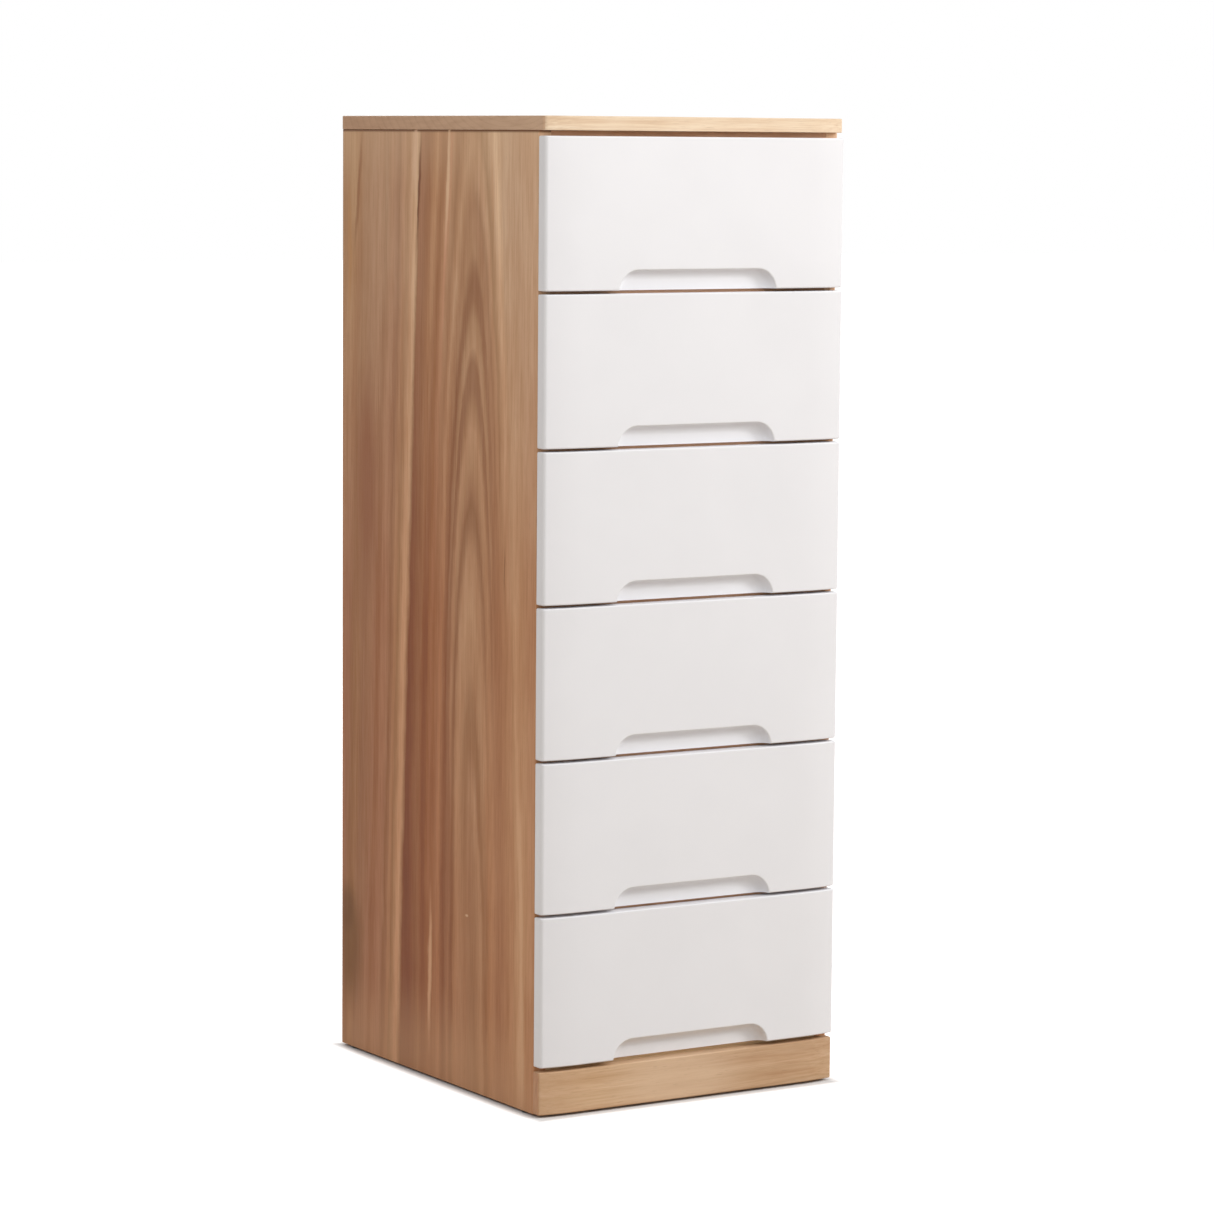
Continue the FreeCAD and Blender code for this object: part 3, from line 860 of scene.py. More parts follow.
@dataclass(frozen=True)
class MouldedNylon(Finish):
    """Dark moulded nylon.

    The eye sees a plain dark plastic with a fine moulded grain.
    """

    colour: str = "2a2725"
    worn: str = "38332f"

    def dress(self, add: AddNode) -> Node:
        """Builds the moulded grain, about half a millimetre across.

        Args:
            add: adds a node to the finish.

        Returns:
            The shader.
        """
        grain = add("TexNoise", {"Vector": self.millimetres(add), "Scale": 2.0, "Detail": 2.0})
        return add("BsdfPrincipled", {
            "Base Color": add("MixRGB", (grain, self.colour, self.worn)), "Roughness": 0.5,
            "Normal": add("Bump", {"Height": grain, "Strength": 0.2, "Distance": 0.05 * MM})})


# Where the growth rings lie in each board, and its tones by distance from the pith.
SIDE_GRAIN = Grain(Axis.Z, Axis.Y, Axis.X, face=200.0, centre=-72.0, low=0.0, high=1104.0,
                   depth_low=10.3, depth_high=83.8)
TOP_GRAIN = Grain(Axis.X, Axis.Y, Axis.Z, face=1120.0, centre=-150.0, low=-200.0, high=200.0,
                  depth_low=22.0, depth_high=46.0)
PLINTH_GRAIN = Grain(Axis.X, Axis.Z, Axis.Y, face=231.5, centre=-30.0, low=-200.0, high=200.0,
                     depth_low=24.0, depth_high=6.0)

ARCHES: Stops = (
    (0.0, "bf8f6c"), (22.0, "b88864"), (27.0, "c0906d"), (31.0, "c79875"), (34.5, "cea07d"), (36.0, "c29371"),
    (37.2, "b88864"), (40.5, "b88965"), (43.0, "c99a76"), (47.5, "d2a581"), (52.0, "cea07d"), (54.2, "b88a68"),
    (55.6, "af805e"), (56.8, "be8f6d"), (58.6, "ca9d79"), (61.3, "d4a784"), (63.2, "c19471"), (64.4, "b48666"),
    (66.4, "b48665"), (67.6, "d1a683"), (69.7, "c69b78"), (71.0, "b48665"), (73.2, "b48666"), (74.4, "c79c7a"))
NEAR_RINGS = Tones(
    foot=((0.0, "b5815b"), (21.5, "b7825c"), (24.5, "c08b64"), (27.0, "cb9a73"), (34.5, "ce9c76"), (36.5, "ca9771"),
          (38.5, "ba8660"), (43.5, "b5815b"), (47.0, "bd8963"), (50.5, "c69069"), (56.0, "cb9771"), (61.0, "c8946f"),
          (66.0, "c08c68"), (74.0, "bf8b67"), (84.0, "c38f6a"), (92.0, "c7946e"), (98.0, "cd9a75"), (104.0, "d0a07a"),
          (110.0, "d8a983"), (117.0, "d3a27c"), (124.0, "d1a17b"), (133.0, "cd9b76"), (141.0, "cb9873"),
          (165.0, "cd9d78")),
    head=ARCHES + (
        (77.0, "c89c7b"), (78.6, "c39877"), (81.0, "d7ad8b"), (83.0, "d8af8c"), (85.5, "c69d7a"), (88.0, "cea683"),
        (90.5, "deb693"), (93.5, "eec8a5"), (96.0, "f2cdaa"), (98.5, "e7c19e"), (102.0, "dcb695"), (109.0, "ddb898"),
        (124.0, "dab494"), (150.0, "e1bc9c")))
FAR_RINGS = Tones(
    foot=((0.0, "b8845f"), (30.0, "b5835e"), (34.5, "bc8762"), (41.0, "c5916d"), (48.0, "c6916c"), (51.2, "bf8c67"),
          (53.3, "b17d59"), (56.3, "ad7856"), (59.0, "b7835f"), (61.8, "be8966"), (64.2, "b6815e"), (67.0, "ab7654"),
          (71.0, "a66f4d"), (73.6, "ab7451"), (76.5, "b67f5c"), (79.3, "c48d67"), (83.0, "c68e6a"), (86.5, "bd8661"),
          (92.0, "b77e59"), (95.0, "b27954"), (101.5, "ba815c"), (106.0, "b27953"), (110.5, "a9704d"),
          (115.5, "a76e4b"), (119.5, "ad7450"), (124.0, "b37e59"), (130.0, "ae7855"), (135.0, "a8724f"),
          (141.0, "a46c4b"), (147.0, "9b6445"), (165.0, "9c6545")),
    head=ARCHES[:-2] + (
        (72.5, "b18362"), (75.0, "ca9f7c"), (78.0, "c59977"), (80.4, "d1a784"), (82.4, "dbb390"), (84.6, "d1a683"),
        (87.6, "c59a78"), (92.5, "cea380"), (97.0, "dfae8c"), (99.4, "d3a37f"), (103.0, "bf8e6b"), (106.5, "bb8a65"),
        (110.5, "c4936f"), (115.5, "d3a47e"), (120.5, "c99873"), (126.0, "bd8c69"), (133.0, "b78766"),
        (139.0, "bb8a6a"), (160.0, "ba8a69")))
BACK_BOARD = Tones(
    foot=((0.0, "a6734e"), (3.0, "b58160"), (6.0, "cd9a75"), (9.5, "dba983"), (16.0, "d8a57f"), (20.5, "ca9873"),
          (24.5, "be8d67"), (28.0, "b88660"), (31.5, "c08c67"), (36.0, "c28f6a"), (40.5, "b5815e"), (45.0, "ae7a57"),
          (50.5, "bb8765"), (58.0, "c08b6a"), (66.0, "be8967"), (72.0, "b57f5c"), (77.5, "b47e5b"), (85.0, "bd8a69"),
          (95.0, "b78563"), (110.0, "b48362"), (122.0, "b78661"), (133.0, "b07f5b"), (150.0, "b98566"),
          (180.0, "bd8a68")),
    head=((0.0, "b48968"), (3.0, "cca381"), (5.5, "e2bb98"), (8.0, "edc6a3"), (13.0, "e9c3a0"), (18.5, "e2ba98"),
          (22.0, "d8af8d"), (26.0, "d2a886"), (31.0, "d1a785"), (36.0, "d7ad8c"), (41.0, "cea383"), (46.0, "c39879"),
          (52.0, "c69b7c"), (62.0, "cfa484"), (72.0, "cba181"), (77.0, "c69d7d"), (92.0, "cea484"), (110.0, "caa080"),
          (130.0, "c89e7d"), (140.0, "c49774"), (155.0, "cfa57f"), (180.0, "cca37f")))
# Flecks, streaks, stains and patches of the left side panel, in its own Y and Z, with painted light along the foot
# and a painted shadow line under the top.
SIDE_MARKS = (
    # A paler band along the foot: painted light, standing in for light thrown up from the floor.
    Mark(0.0, -10.0, 420.0, 135.0, "e0b088", 0.42),
    # A dark line where the side meets the top board: a painted shadow in the joint.
    Mark(0.0, 1104.5, 2000.0, 4.4, "79543a", 1.0),
    Mark(196.0, 1030.0, 6.0, 95.0, "a5714f", 0.7, lean=-0.15),
    Mark(217.0, 960.0, 7.0, 110.0, "cf9a68", 0.5),
    Mark(50.5, 1033.0, 4.0, 74.0, "805036", 0.9, lean=-0.057),
    Mark(59.5, 1075.0, 5.5, 60.0, "f6ceae", 0.7, lean=-0.02),
    Mark(-14.5, 1055.0, 4.6, 95.0, "f8d2ac", 0.85, lean=-0.054),
    Mark(30.0, 990.0, 11.0, 120.0, "b07753", 0.35),
    Mark(-147.0, 612.0, 3.0, 34.0, "9a6946", 0.7),
    Mark(-65.0, 206.0, 5.0, 2.2, "ecc8a4", 0.8),
    Mark(174.0, 690.0, 34.0, 175.0, "a3694b", 0.7),
    Mark(186.0, 560.0, 32.0, 80.0, "ac7858", 0.4),
    # Two dark patches towards the rear foot.
    Mark(214.0, 128.0, 42.0, 100.0, "7a5024", 0.62),
    Mark(222.0, 172.0, 26.0, 40.0, "6a4420", 0.4),
    Mark(19.0, 130.0, 5.5, 115.0, "eab78f", 0.9, lean=-0.03),
    Mark(-21.0, 300.0, 4.5, 220.0, "a36c4a", 0.55),
    Mark(-184.0, 240.0, 6.5, 210.0, "e9bb93", 0.8, lean=0.04),
    Mark(-189.0, 80.0, 10.0, 110.0, "e9bb93", 0.7))
TOP_TONES: Stops = (
    (0.0, "f3dec3"), (26.0, "efd8bb"), (30.0, "f4e0c5"), (46.0, "f2dcc0"), (50.0, "f5e1c7"), (76.0, "f0d9bd"),
    (80.0, "f5e1c6"), (112.0, "f2ddc2"), (118.0, "f5e2c8"), (160.0, "f0dabe"), (230.0, "f4e0c5"))
TOP_STRIPES: Stops = (
    (0.0, "d8b491"), (1.2, "eed7bb"), (30.0, "f2ddc3"), (45.0, "e8ccad"), (48.0, "f2dec5"), (90.0, "ead1b4"),
    (95.0, "f2dfc6"), (140.0, "e5c8a9"), (200.0, "ecd4b7"))
PLINTH_LEFT: Stops = (
    (0.0, "e0c19d"), (18.0, "dcbc99"), (24.0, "e4c5a1"), (35.0, "e0c09b"), (37.5, "d4b18c"), (40.0, "e2c29f"),
    (55.0, "ddbd99"), (60.0, "e5c6a3"), (72.0, "dcbb97"), (90.0, "e1c29f"))
PLINTH_RIGHT: Stops = (
    (0.0, "d6b694"), (18.0, "d0af8d"), (24.0, "d8b896"), (35.0, "d3b391"), (37.5, "c7a481"), (40.0, "d6b593"),
    (55.0, "d1b08e"), (60.0, "d9b998"), (72.0, "cfad8c"), (90.0, "d6b694"))
RAIL_GRAIN = Grain(Axis.X, Axis.Z, Axis.Y, face=215.0, centre=-60.0, low=-200.0, high=200.0,
                   depth_low=30.0, depth_high=60.0)
RAIL_TONES: Stops = (
    (0.0, "e0b496"), (30.0, "d8a988"), (60.0, "e4b99b"), (110.0, "dbae8f"), (160.0, "e2b799"), (600.0, "daac8c"),
    (1200.0, "e0b596"))
PLINTH_MARKS = (
    Mark(28.0, -15.0, 60.0, 120.0, "e6c9ab", 0.55),
    Mark(28.0, -190.0, 60.0, 60.0, "cba381", 0.4))


class Finishes:
    """Every material of the chest, made once."""

    def __init__(self) -> None:
        """Makes the materials."""
        left = OiledWood(
            "oiled_heartwood_left", SIDE_GRAIN, near_rings=NEAR_RINGS, far_rings=FAR_RINGS, second_board=BACK_BOARD,
            seam_low=93.0, seam_high=46.0, straight_depth=36.0, arch_fade=15.0, marks=SIDE_MARKS,
            pale_from=1020.0, pale_share=0.3)
        right = replace(left, name="oiled_heartwood_right", marks=(), seed=7.3, sway=16.0,
                        grain=replace(SIDE_GRAIN, centre=-20.0))
        self.sides = {Hand.LEFT: left.make(), Hand.RIGHT: right.make()}
        plain = Tones(head=TOP_TONES, foot=TOP_TONES)
        self.top = OiledWood(
            "oiled_heartwood_top", TOP_GRAIN, near_rings=plain, far_rings=plain, sway=10.0, seed=3.1, depth=1.0,
            lift=0.0, seam_low=40.0, seam_high=40.0, second_board=Tones(head=TOP_STRIPES, foot=TOP_STRIPES)).make()
        self.top_end = EndGrain("oiled_end_grain_top", TOP_GRAIN, early="d6b292", late="b38c6c").make()
        plinth = Tones(foot=PLINTH_LEFT, head=PLINTH_RIGHT)
        self.plinth = OiledWood(
            "oiled_heartwood_plinth", PLINTH_GRAIN, near_rings=plinth, far_rings=plinth, second_board=plinth,
            sway=7.0, seed=5.7, fade_low=-90.0, fade_high=40.0, depth=1.0, lift=0.0, marks=PLINTH_MARKS).make()
        self.plinth_end = EndGrain("oiled_end_grain_plinth", PLINTH_GRAIN, early="d3a37c", late="a87552").make()
        rail = Tones(foot=RAIL_TONES, head=RAIL_TONES)
        self.rail = OiledWood(
            "oiled_heartwood_rail", RAIL_GRAIN, near_rings=rail, far_rings=rail, second_board=rail,
            sway=8.0, seed=9.4, depth=1.0, lift=0.0).make()
        self.pale_x = PaleWood("planed_softwood_across", Axis.X).make()
        self.pale_y = PaleWood("planed_softwood_deep", Axis.Y).make()
        self.pale_z = PaleWood("planed_softwood_upright", Axis.Z).make()
        self.back_sheet = Plywood("sanded_plywood_upright", Axis.Z).make()
        self.box_sheet = Plywood("sanded_plywood_across", Axis.X).make()
        self.lacquer = SprayedLacquer("white_satin_lacquer").make()
        self.sheet = RolledSteel("zinc_plated_sheet_steel").make()
        self.balls = RolledSteel("polished_ball_steel", colour="d8dadc", shaded="c2c5c8", roughness=0.16).make()
        self.screws = RolledSteel("zinc_plated_screw_steel", colour="bfc0c0", roughness=0.3).make()
        self.nylon = MouldedNylon("moulded_nylon").make()
        self.beech = PaleWood("turned_beech", Axis.X, early="dcb890", late="c39a70").make()


# ---------------------------------------------------------------- carcass


@dataclass
class BowedBoard:
    """A board across the whole front whose face bows back towards both ends."""

    bow_length: float = 50 * MM
    bow_depth: float = 4.5 * MM
    steps: int = 12
    corner: float = 0.0
    corner_strips: int = 5
    rim_play: float = 0.2 * MM

    def bow(self, x: float, half: float) -> float:
        """How far the face lies back.

        Args:
            x: the place across the board.
            half: half the board's width.

        Returns:
            The depth.
        """
        past = abs(x) - (half - self.bow_length)
        if past <= 0:
            return 0.0
        radius = (self.bow_length ** 2 + self.bow_depth ** 2) / (2 * self.bow_depth)
        return radius - math.sqrt(radius ** 2 - past ** 2)

    def bend(self, shape: Shape, box: Box) -> None:
        """Bows the front face of a flat board, and rounds its upright corners if they are to be round.

        Args:
            shape: the board.
            box: its box.
        """
        half = box.high.x
        places = [half - self.bow_length * step / self.steps for step in range(1, self.steps + 1)]
        shape.cut(Axis.X, [*places, *[-place for place in places]])
        for vert in shape.mesh.verts:
            if vert.co.y < box.low.y + NEAR:
                vert.co.y += self.bow(vert.co.x, half)
        if self.corner:
            uprights = shape.edges_where(
                lambda start, end: abs(start.z - end.z) > NEAR and abs(abs((start + end).x / 2) - half) < NEAR
                and max(start.y, end.y) < box.low.y + self.bow_depth + NEAR)
            shape.soften(uprights, self.corner, self.corner_strips)

    def shape(self, box: Box) -> Shape:
        """The board with its bowed face and sharp edges."""
        shape = Shape()
        shape.block(box)
        self.bend(shape, box)
        return shape

    def rim(self, shape: Shape, box: Box) -> list[BMEdge]:
        """Finds the edges round the board's face and its ends.

        Args:
            shape: the bowed board.
            box: its box.

        Returns:
            The edges.
        """
        half = box.high.x

        def on_rim(start: Vector, end: Vector) -> bool:
            middle = (start + end) / 2
            level = abs(start.z - end.z) < NEAR
            at_end = abs(middle.x) > half - NEAR
            in_front = middle.y < box.low.y + self.bow(middle.x, half) + NEAR + self.rim_play
            in_corner = abs(middle.x) > half - self.corner - NEAR and middle.y < box.high.y - NEAR
            outer = min(abs(middle.z - box.low.z), abs(middle.z - box.high.z)) < NEAR
            if level:
                return outer and (at_end or in_front or in_corner)
            return at_end and in_front
        return shape.edges_where(on_rim)


@dataclass
class Carcass:
    """The still part of the chest: its panels, rails, blocks and glides."""

    finishes: Finishes
    small_edge: float = 1.2 * MM
    small_strips: int = 3
    soft_edge: float = 1.8 * MM
    eased: float = 0.6 * MM
    groove_depth: float = 6 * MM
    groove_play: float = 0.2 * MM
    glide_rounding: float = 1.0 * MM
    glide_sides: int = 40
    top_corner: float = 4.0 * MM
    end_facing: float = 0.7
    body: str = "carcass"
    bowed: BowedBoard = field(default_factory=BowedBoard)

    def build(self) -> None:
        """Builds every still piece."""
        self.top_panel()
        self.plinth_front()
        for hand in Hand:
            self.side_panel(hand)
        self.plain_boards()
        self.glides()

    def top_panel(self) -> None:
        """The top board, bowed in front, with the back panel's groove underneath."""
        box, back = box_of("top_panel"), box_of("back_panel")
        bowed = replace(self.bowed, corner=self.top_corner)
        shape = bowed.shape(box)
        shape.soften(bowed.rim(shape, box), self.small_edge, self.small_strips)
        groove = Box(Vector((back.low.x, back.low.y, box.low.z)),
                     Vector((back.high.x, back.high.y + self.groove_play, box.low.z)))
        shape.pocket(groove, Axis.Z, self.groove_depth)
        self.board_across(shape, "top_board", self.finishes.top, self.finishes.top_end, "top_panel")

    def plinth_front(self) -> None:
        """The plinth board, bowed like the fronts above it."""
        box = box_of("plinth_front")
        shape = self.bowed.shape(box)
        shape.soften(self.bowed.rim(shape, box), self.soft_edge)
        self.board_across(shape, "plinth_board", self.finishes.plinth, self.finishes.plinth_end, "plinth_front")

    def board_across(self, shape: Shape, name: str, face: Material, end: Material, node: str) -> None:
        """Finishes a board across the chest, with end grain on its two ends.

        Args:
            shape: the board.
            name: the piece's name.
            face: the wood of its faces.
            end: the wood of its ends.
            node: the node of the frame that it stands for.
        """
        for part in shape.faces_where(lambda _, normal: abs(normal.x) > self.end_facing):
            part.material_index = 1
        shape.finish(name, self.body, Slot.NATURAL_WOOD, [face, end], node)

    def side_panel(self, hand: Hand) -> None:
        """One upright side board, grooved inside for the back panel.

        Args:
            hand: the side that it stands on.
        """
        side = hand.name.lower() + "_side"
        box, back = box_of(side + "_panel"), box_of("back_panel")
        shape = Shape()
        shape.block(box)

        def outer_edge(start: Vector, end: Vector) -> bool:
            upright = abs(start.z - end.z) > NEAR
            on_top = min(start.z, end.z) > box.high.z - NEAR
            return (upright or on_top) and max(abs(start.x - box.outer_x), abs(end.x - box.outer_x)) < NEAR
        shape.soften(shape.edges_where(outer_edge), self.small_edge, self.small_strips)
        low, high = back.low.y, back.high.y + self.groove_play
        shape.cut(Axis.Y, (low, high))
        groove = shape.faces_where(
            lambda middle, _: abs(middle.x - box.inner_x) < NEAR and low < middle.y < high)
        shape.push(groove, Axis.X.unit * hand.value * self.groove_depth)
        shape.finish(side + "_board", self.body, Slot.NATURAL_WOOD, [self.finishes.sides[hand]], side + "_panel")

    def plain_boards(self) -> None:
        """The boards, rails and blocks between the side panels."""
        made = self.finishes
        for node, name, slot, material in (
                ("bottom_panel", "bottom_board", Slot.INNER_WOOD, made.pale_x),
                ("plinth_rear", "rear_plinth_board", Slot.INNER_WOOD, made.pale_x),
                ("top_front_rail", "front_rail", Slot.INNER_WOOD, made.rail),
                ("top_rear_rail", "rear_rail", Slot.INNER_WOOD, made.pale_x),
                ("drawer_dividers", "divider_rails", Slot.INNER_WOOD, made.rail),
                ("corner_blocks", "glue_blocks", Slot.INNER_WOOD, made.pale_z),
                ("back_panel", "back_sheet", Slot.PLYWOOD, made.back_sheet)):
            shape = Shape()
            for box in solids_of(node):
                shape.board(box, self.eased)
            shape.finish(name, self.body, slot, [material], node)

    def glides(self) -> None:
        """The round nylon pads under the side panels."""
        shape = Shape()
        for box in solids_of("foot_glides"):
            radius = box.size.x / 2
            made = bmesh.ops.create_cone(
                shape.mesh, cap_ends=True, segments=self.glide_sides, radius1=radius, radius2=radius,
                depth=box.size.z, matrix=Matrix.Translation(box.centre))
            rim = {edge for vert in made["verts"] for edge in vert.link_edges
                   if all(abs(end.co.z - box.low.z) < NEAR for end in edge.verts)}
            shape.soften(rim, self.glide_rounding, self.small_strips)
        shape.finish("glide_pads", self.body, Slot.NYLON, [self.finishes.nylon], "foot_glides")


# ---------------------------------------------------------------- runners and screws


class Side(Enum):
    """Where a runner member's web is, seen from the middle of the chest."""

    OUTER = "outer"
    INNER = "inner"


@dataclass(frozen=True)
class Member:
    """One kind of runner member: where its web is, and its holes.

    The slots are shares of its length from the front, and a round hole is near
    its front, and near its rear too if it says so.
    """

    web: Side
    slots: tuple[float, ...]
    round_front: bool = True
    round_rear: bool = False


@dataclass
class Runners:
    """The telescopic runners: rolled channels with punched webs, and ball cages between them."""

    finishes: Finishes
    sheet: float = 1.2 * MM
    fold: float = 1.5 * MM
    fold_strips: int = 3
    web_facing: float = 0.9
    hole_radius: float = 2.3 * MM
    hole_steps: int = 10
    slot_half: float = 4.0 * MM
    hole_inset: float = 22 * MM
    ball_pitch: float = 11 * MM
    cage_sheet: float = 0.9 * MM
    cage_eased: float = 0.2 * MM
    fixed: Member = Member(Side.OUTER, (0.3, 0.7), round_rear=True)
    sliding: Member = Member(Side.INNER, (0.35, 0.62))
    between: Member = Member(Side.OUTER, (0.25, 0.75), round_front=False)

    def punch(self, mesh: BMesh, at: Vector, slot_half: float) -> list[BMEdge]:
        """Draws the outline of a round or long hole in the plane of a web.

        Args:
            mesh: the mesh that the web is drawn in.
            at: the hole's middle.
            slot_half: half the straight run along the web; 0 for a round hole.

        Returns:
            The outline's edges.
        """
        front = at + Vector((0, slot_half, 0))
        rear = at - Vector((0, slot_half, 0))
        up = Axis.Z.unit * self.hole_radius
        pen = Pen(mesh, front - up)
        pen.arc(front, Axis.X.unit, math.pi, self.hole_steps)
        pen.line(rear + up)
        pen.arc(rear, Axis.X.unit, math.pi, self.hole_steps)
        return pen.close()

    def holes(self, length: float, kind: Member) -> list[tuple[float, float]]:
        """Lists a member's holes.

        Args:
            length: the member's length.
            kind: which member it is.

        Returns:
            For each hole its place from the front, and half its straight run.
        """
        front = [(self.hole_inset, 0.0)] * kind.round_front
        rear = [(length - self.hole_inset, 0.0)] * kind.round_rear
        return [*front, *[(length * share, self.slot_half) for share in kind.slots], *rear]

    def channel(self, box: Box, kind: Member) -> Shape:
        """One rolled member.

        Args:
            box: the member's box.
            kind: which member it is.

        Returns:
            The member.
        """
        web, tip = (box.outer_x, box.inner_x) if kind.web is Side.OUTER else (box.inner_x, box.outer_x)
        shape = Shape()
        mesh, half, middle = shape.mesh, box.size.z / 2, box.centre.z
        pen = Pen(mesh, Vector((web, box.low.y, middle - half)))
        for y, z in ((box.high.y, middle - half), (box.high.y, middle + half), (box.low.y, middle + half)):
            pen.line(Vector((web, y, z)))
        pen.close()
        for along, slot_half in self.holes(box.size.y, kind):
            self.punch(mesh, Vector((web, box.low.y + along, middle)), slot_half)
        bmesh.ops.remove_doubles(mesh, verts=mesh.verts, dist=NEAR)
        bmesh.ops.triangle_fill(mesh, use_beauty=True, use_dissolve=False, edges=list(mesh.edges), normal=(1, 0, 0))

        def long_edge(start: Vector, end: Vector) -> bool:
            return abs(start.z - end.z) < NEAR and abs(abs(start.z - middle) - half) < NEAR
        made = bmesh.ops.extrude_edge_only(mesh, edges=shape.edges_where(long_edge))["geom"]
        bmesh.ops.translate(mesh, vec=Axis.X.unit * (tip - web), verts=verts_in(made))
        shape.soften(shape.edges_where(
            lambda start, end: long_edge(start, end) and max(abs(start.x - web), abs(end.x - web)) < NEAR),
            self.fold, self.fold_strips)
        bmesh.ops.recalc_face_normals(mesh, faces=mesh.faces)
        web_face = max(mesh.faces, key=lambda face: face.calc_area() * (abs(face.normal.x) > self.web_facing))
        if web_face.normal.x * (tip - web) > 0:
            bmesh.ops.reverse_faces(mesh, faces=mesh.faces)
        bmesh.ops.solidify(mesh, geom=[*mesh.verts, *mesh.edges, *mesh.faces], thickness=self.sheet)
        return shape

    def cage(self, box: Box) -> Shape:
        """A thin strip that carries a row of balls.

        Args:
            box: the cage's box, as deep as its balls.

        Returns:
            The cage with its balls.
        """
        shape = Shape()
        rise = Vector((0, 0, (box.size.z - self.cage_sheet) / 2))
        shape.board(Box(box.low + rise, box.high - rise), self.cage_eased, 1)
        radius = box.size.z / 2
        count = int((box.size.y - 2 * radius) // self.ball_pitch)
        start = box.centre.y - self.ball_pitch * (count - 1) / 2
        for number in range(count):
            place = Matrix.Translation((box.centre.x, start + number * self.ball_pitch, box.centre.z))
            made = bmesh.ops.create_icosphere(shape.mesh, subdivisions=2, radius=radius, matrix=place)
            for face in {face for vert in made["verts"] for face in vert.link_faces}:
                face.material_index = 1
        return shape

    def build(self, node: str, name: str, body: str, kind: Member) -> None:
        """Builds every member of a node, and the ball cages among them.

        Args:
            node: the node of the frame.
            name: the piece's name.
            body: the body that it rides on.
            kind: which member it is.
        """
        pieces, found = Shape(), solids_of(node)
        longest = max(box.size.y for box in found)
        cages = [box for box in found if box.size.y < longest - MM]
        for box in found:
            pieces.add(self.cage(box) if box in cages else self.channel(box, kind))
        materials = [self.finishes.sheet, self.finishes.balls] if cages else [self.finishes.sheet]
        pieces.finish(name, body, Slot.ZINC_STEEL, materials, node)

    def cabinet(self, hand: Hand) -> None:
        """The fixed members on one side panel."""
        side = hand.name.lower() + "_cabinet"
        self.build(side + "_runners", side + "_fixed_members", "carcass", self.fixed)

    def drawer(self, body: str) -> None:
        """The sliding and the middle members of one drawer."""
        self.build(body + "_inner_runners", body + "_runner_members", body, self.sliding)
        self.build(body + "_middle_runners", body + "_middle_members", body + "_middle", self.between)


@dataclass
class Screws:
    """Countersunk screws with a cross recess."""

    finishes: Finishes
    head_radius: float = 3.6 * MM
    head_depth: float = 1.2 * MM
    head_sides: int = 28
    shank_radius: float = 2.0 * MM
    tip_share: float = 0.15
    recess_reach: float = 2.2 * MM
    recess_width: float = 0.9 * MM
    recess_depth: float = 0.9 * MM
    recess_floor: float = 0.55
    proud: float = 0.12 * MM

    def screw(self, length: float) -> Shape:
        """A screw that points along +Z with its flat head at the origin.

        Args:
            length: its length.

        Returns:
            The screw.
        """
        shape = Shape()
        mesh = shape.mesh
        made = bmesh.ops.create_circle(mesh, cap_ends=False, segments=self.head_sides, radius=self.head_radius)
        head = list({edge for vert in made["verts"] for edge in vert.link_edges})
        reach, half = self.recess_reach, self.recess_width / 2
        corners = []
        for quarter in range(4):
            turn = Matrix.Rotation(math.tau * quarter / 4, 3, "Z")
            corners += [turn @ Vector(point) for point in ((reach, -half, 0), (reach, half, 0), (half, half, 0))]
        pen = Pen(mesh, corners[0])
        for corner in corners[1:]:
            pen.line(corner)
        cross = pen.close()
        bmesh.ops.triangle_fill(mesh, use_beauty=True, use_dissolve=False, edges=head + cross, normal=(0, 0, -1))
        floor = self.sunk(mesh, cross, self.recess_floor, self.recess_depth)
        bmesh.ops.contextual_create(mesh, geom=floor)
        neck = self.sunk(mesh, head, self.shank_radius / self.head_radius, self.head_depth)
        shank = self.sunk(mesh, neck, 1.0, length - self.head_depth - 2 * self.shank_radius)
        tip = self.sunk(mesh, shank, self.tip_share, 2 * self.shank_radius)
        bmesh.ops.contextual_create(mesh, geom=tip)
        return shape

    def sunk(self, mesh: BMesh, edges: list[BMEdge], scale: float, depth: float) -> list[BMEdge]:
        """Extrudes a closed outline down and draws it in.

        Args:
            mesh: the screw's mesh.
            edges: the outline.
            scale: how wide the new outline is, as a share of the old.
            depth: how far down it is.

        Returns:
            The new outline.
        """
        made = bmesh.ops.extrude_edge_only(mesh, edges=edges)["geom"]
        verts = verts_in(made)
        bmesh.ops.scale(mesh, vec=(scale, scale, 1), verts=verts)
        bmesh.ops.translate(mesh, vec=(0, 0, depth), verts=verts)
        return [item for item in made if isinstance(item, BMEdge)
                and all(vert in verts for vert in item.verts)]

    def build(self, node: str, name: str, body: str, way: Callable[[Box], Vector]) -> None:
        """Builds every screw of a node.

        Args:
            node: the node of the frame.
            name: the piece's name.
            body: the body that it rides on.
            way: gives the direction that a screw points in, from its box.
        """
        shape = Shape()
        for box in solids_of(node):
            point, length = way(box), max(box.size)
            start = box.centre - point * (length / 2 + self.proud)
            turn = Axis.Z.unit.rotation_difference(point).to_matrix().to_4x4()
            shape.add(self.screw(length), Matrix.Translation(start) @ turn)
        shape.finish(name, body, Slot.SCREW_STEEL, [self.finishes.screws], node)

    def outward(self, box: Box) -> Vector:
        """Away from the middle of the chest."""
        return Axis.X.unit * (1 if box.centre.x > 0 else -1)

    def forward(self, _box: Box) -> Vector:
        """Towards the front."""
        return -Axis.Y.unit

    def in_drawer(self, box: Box) -> Vector:
        """Into the drawer's side for a runner's screw, and into its front for the others."""
        return -self.outward(box) if box.size.x > box.size.y else self.forward(box)


# ---------------------------------------------------------------- drawers


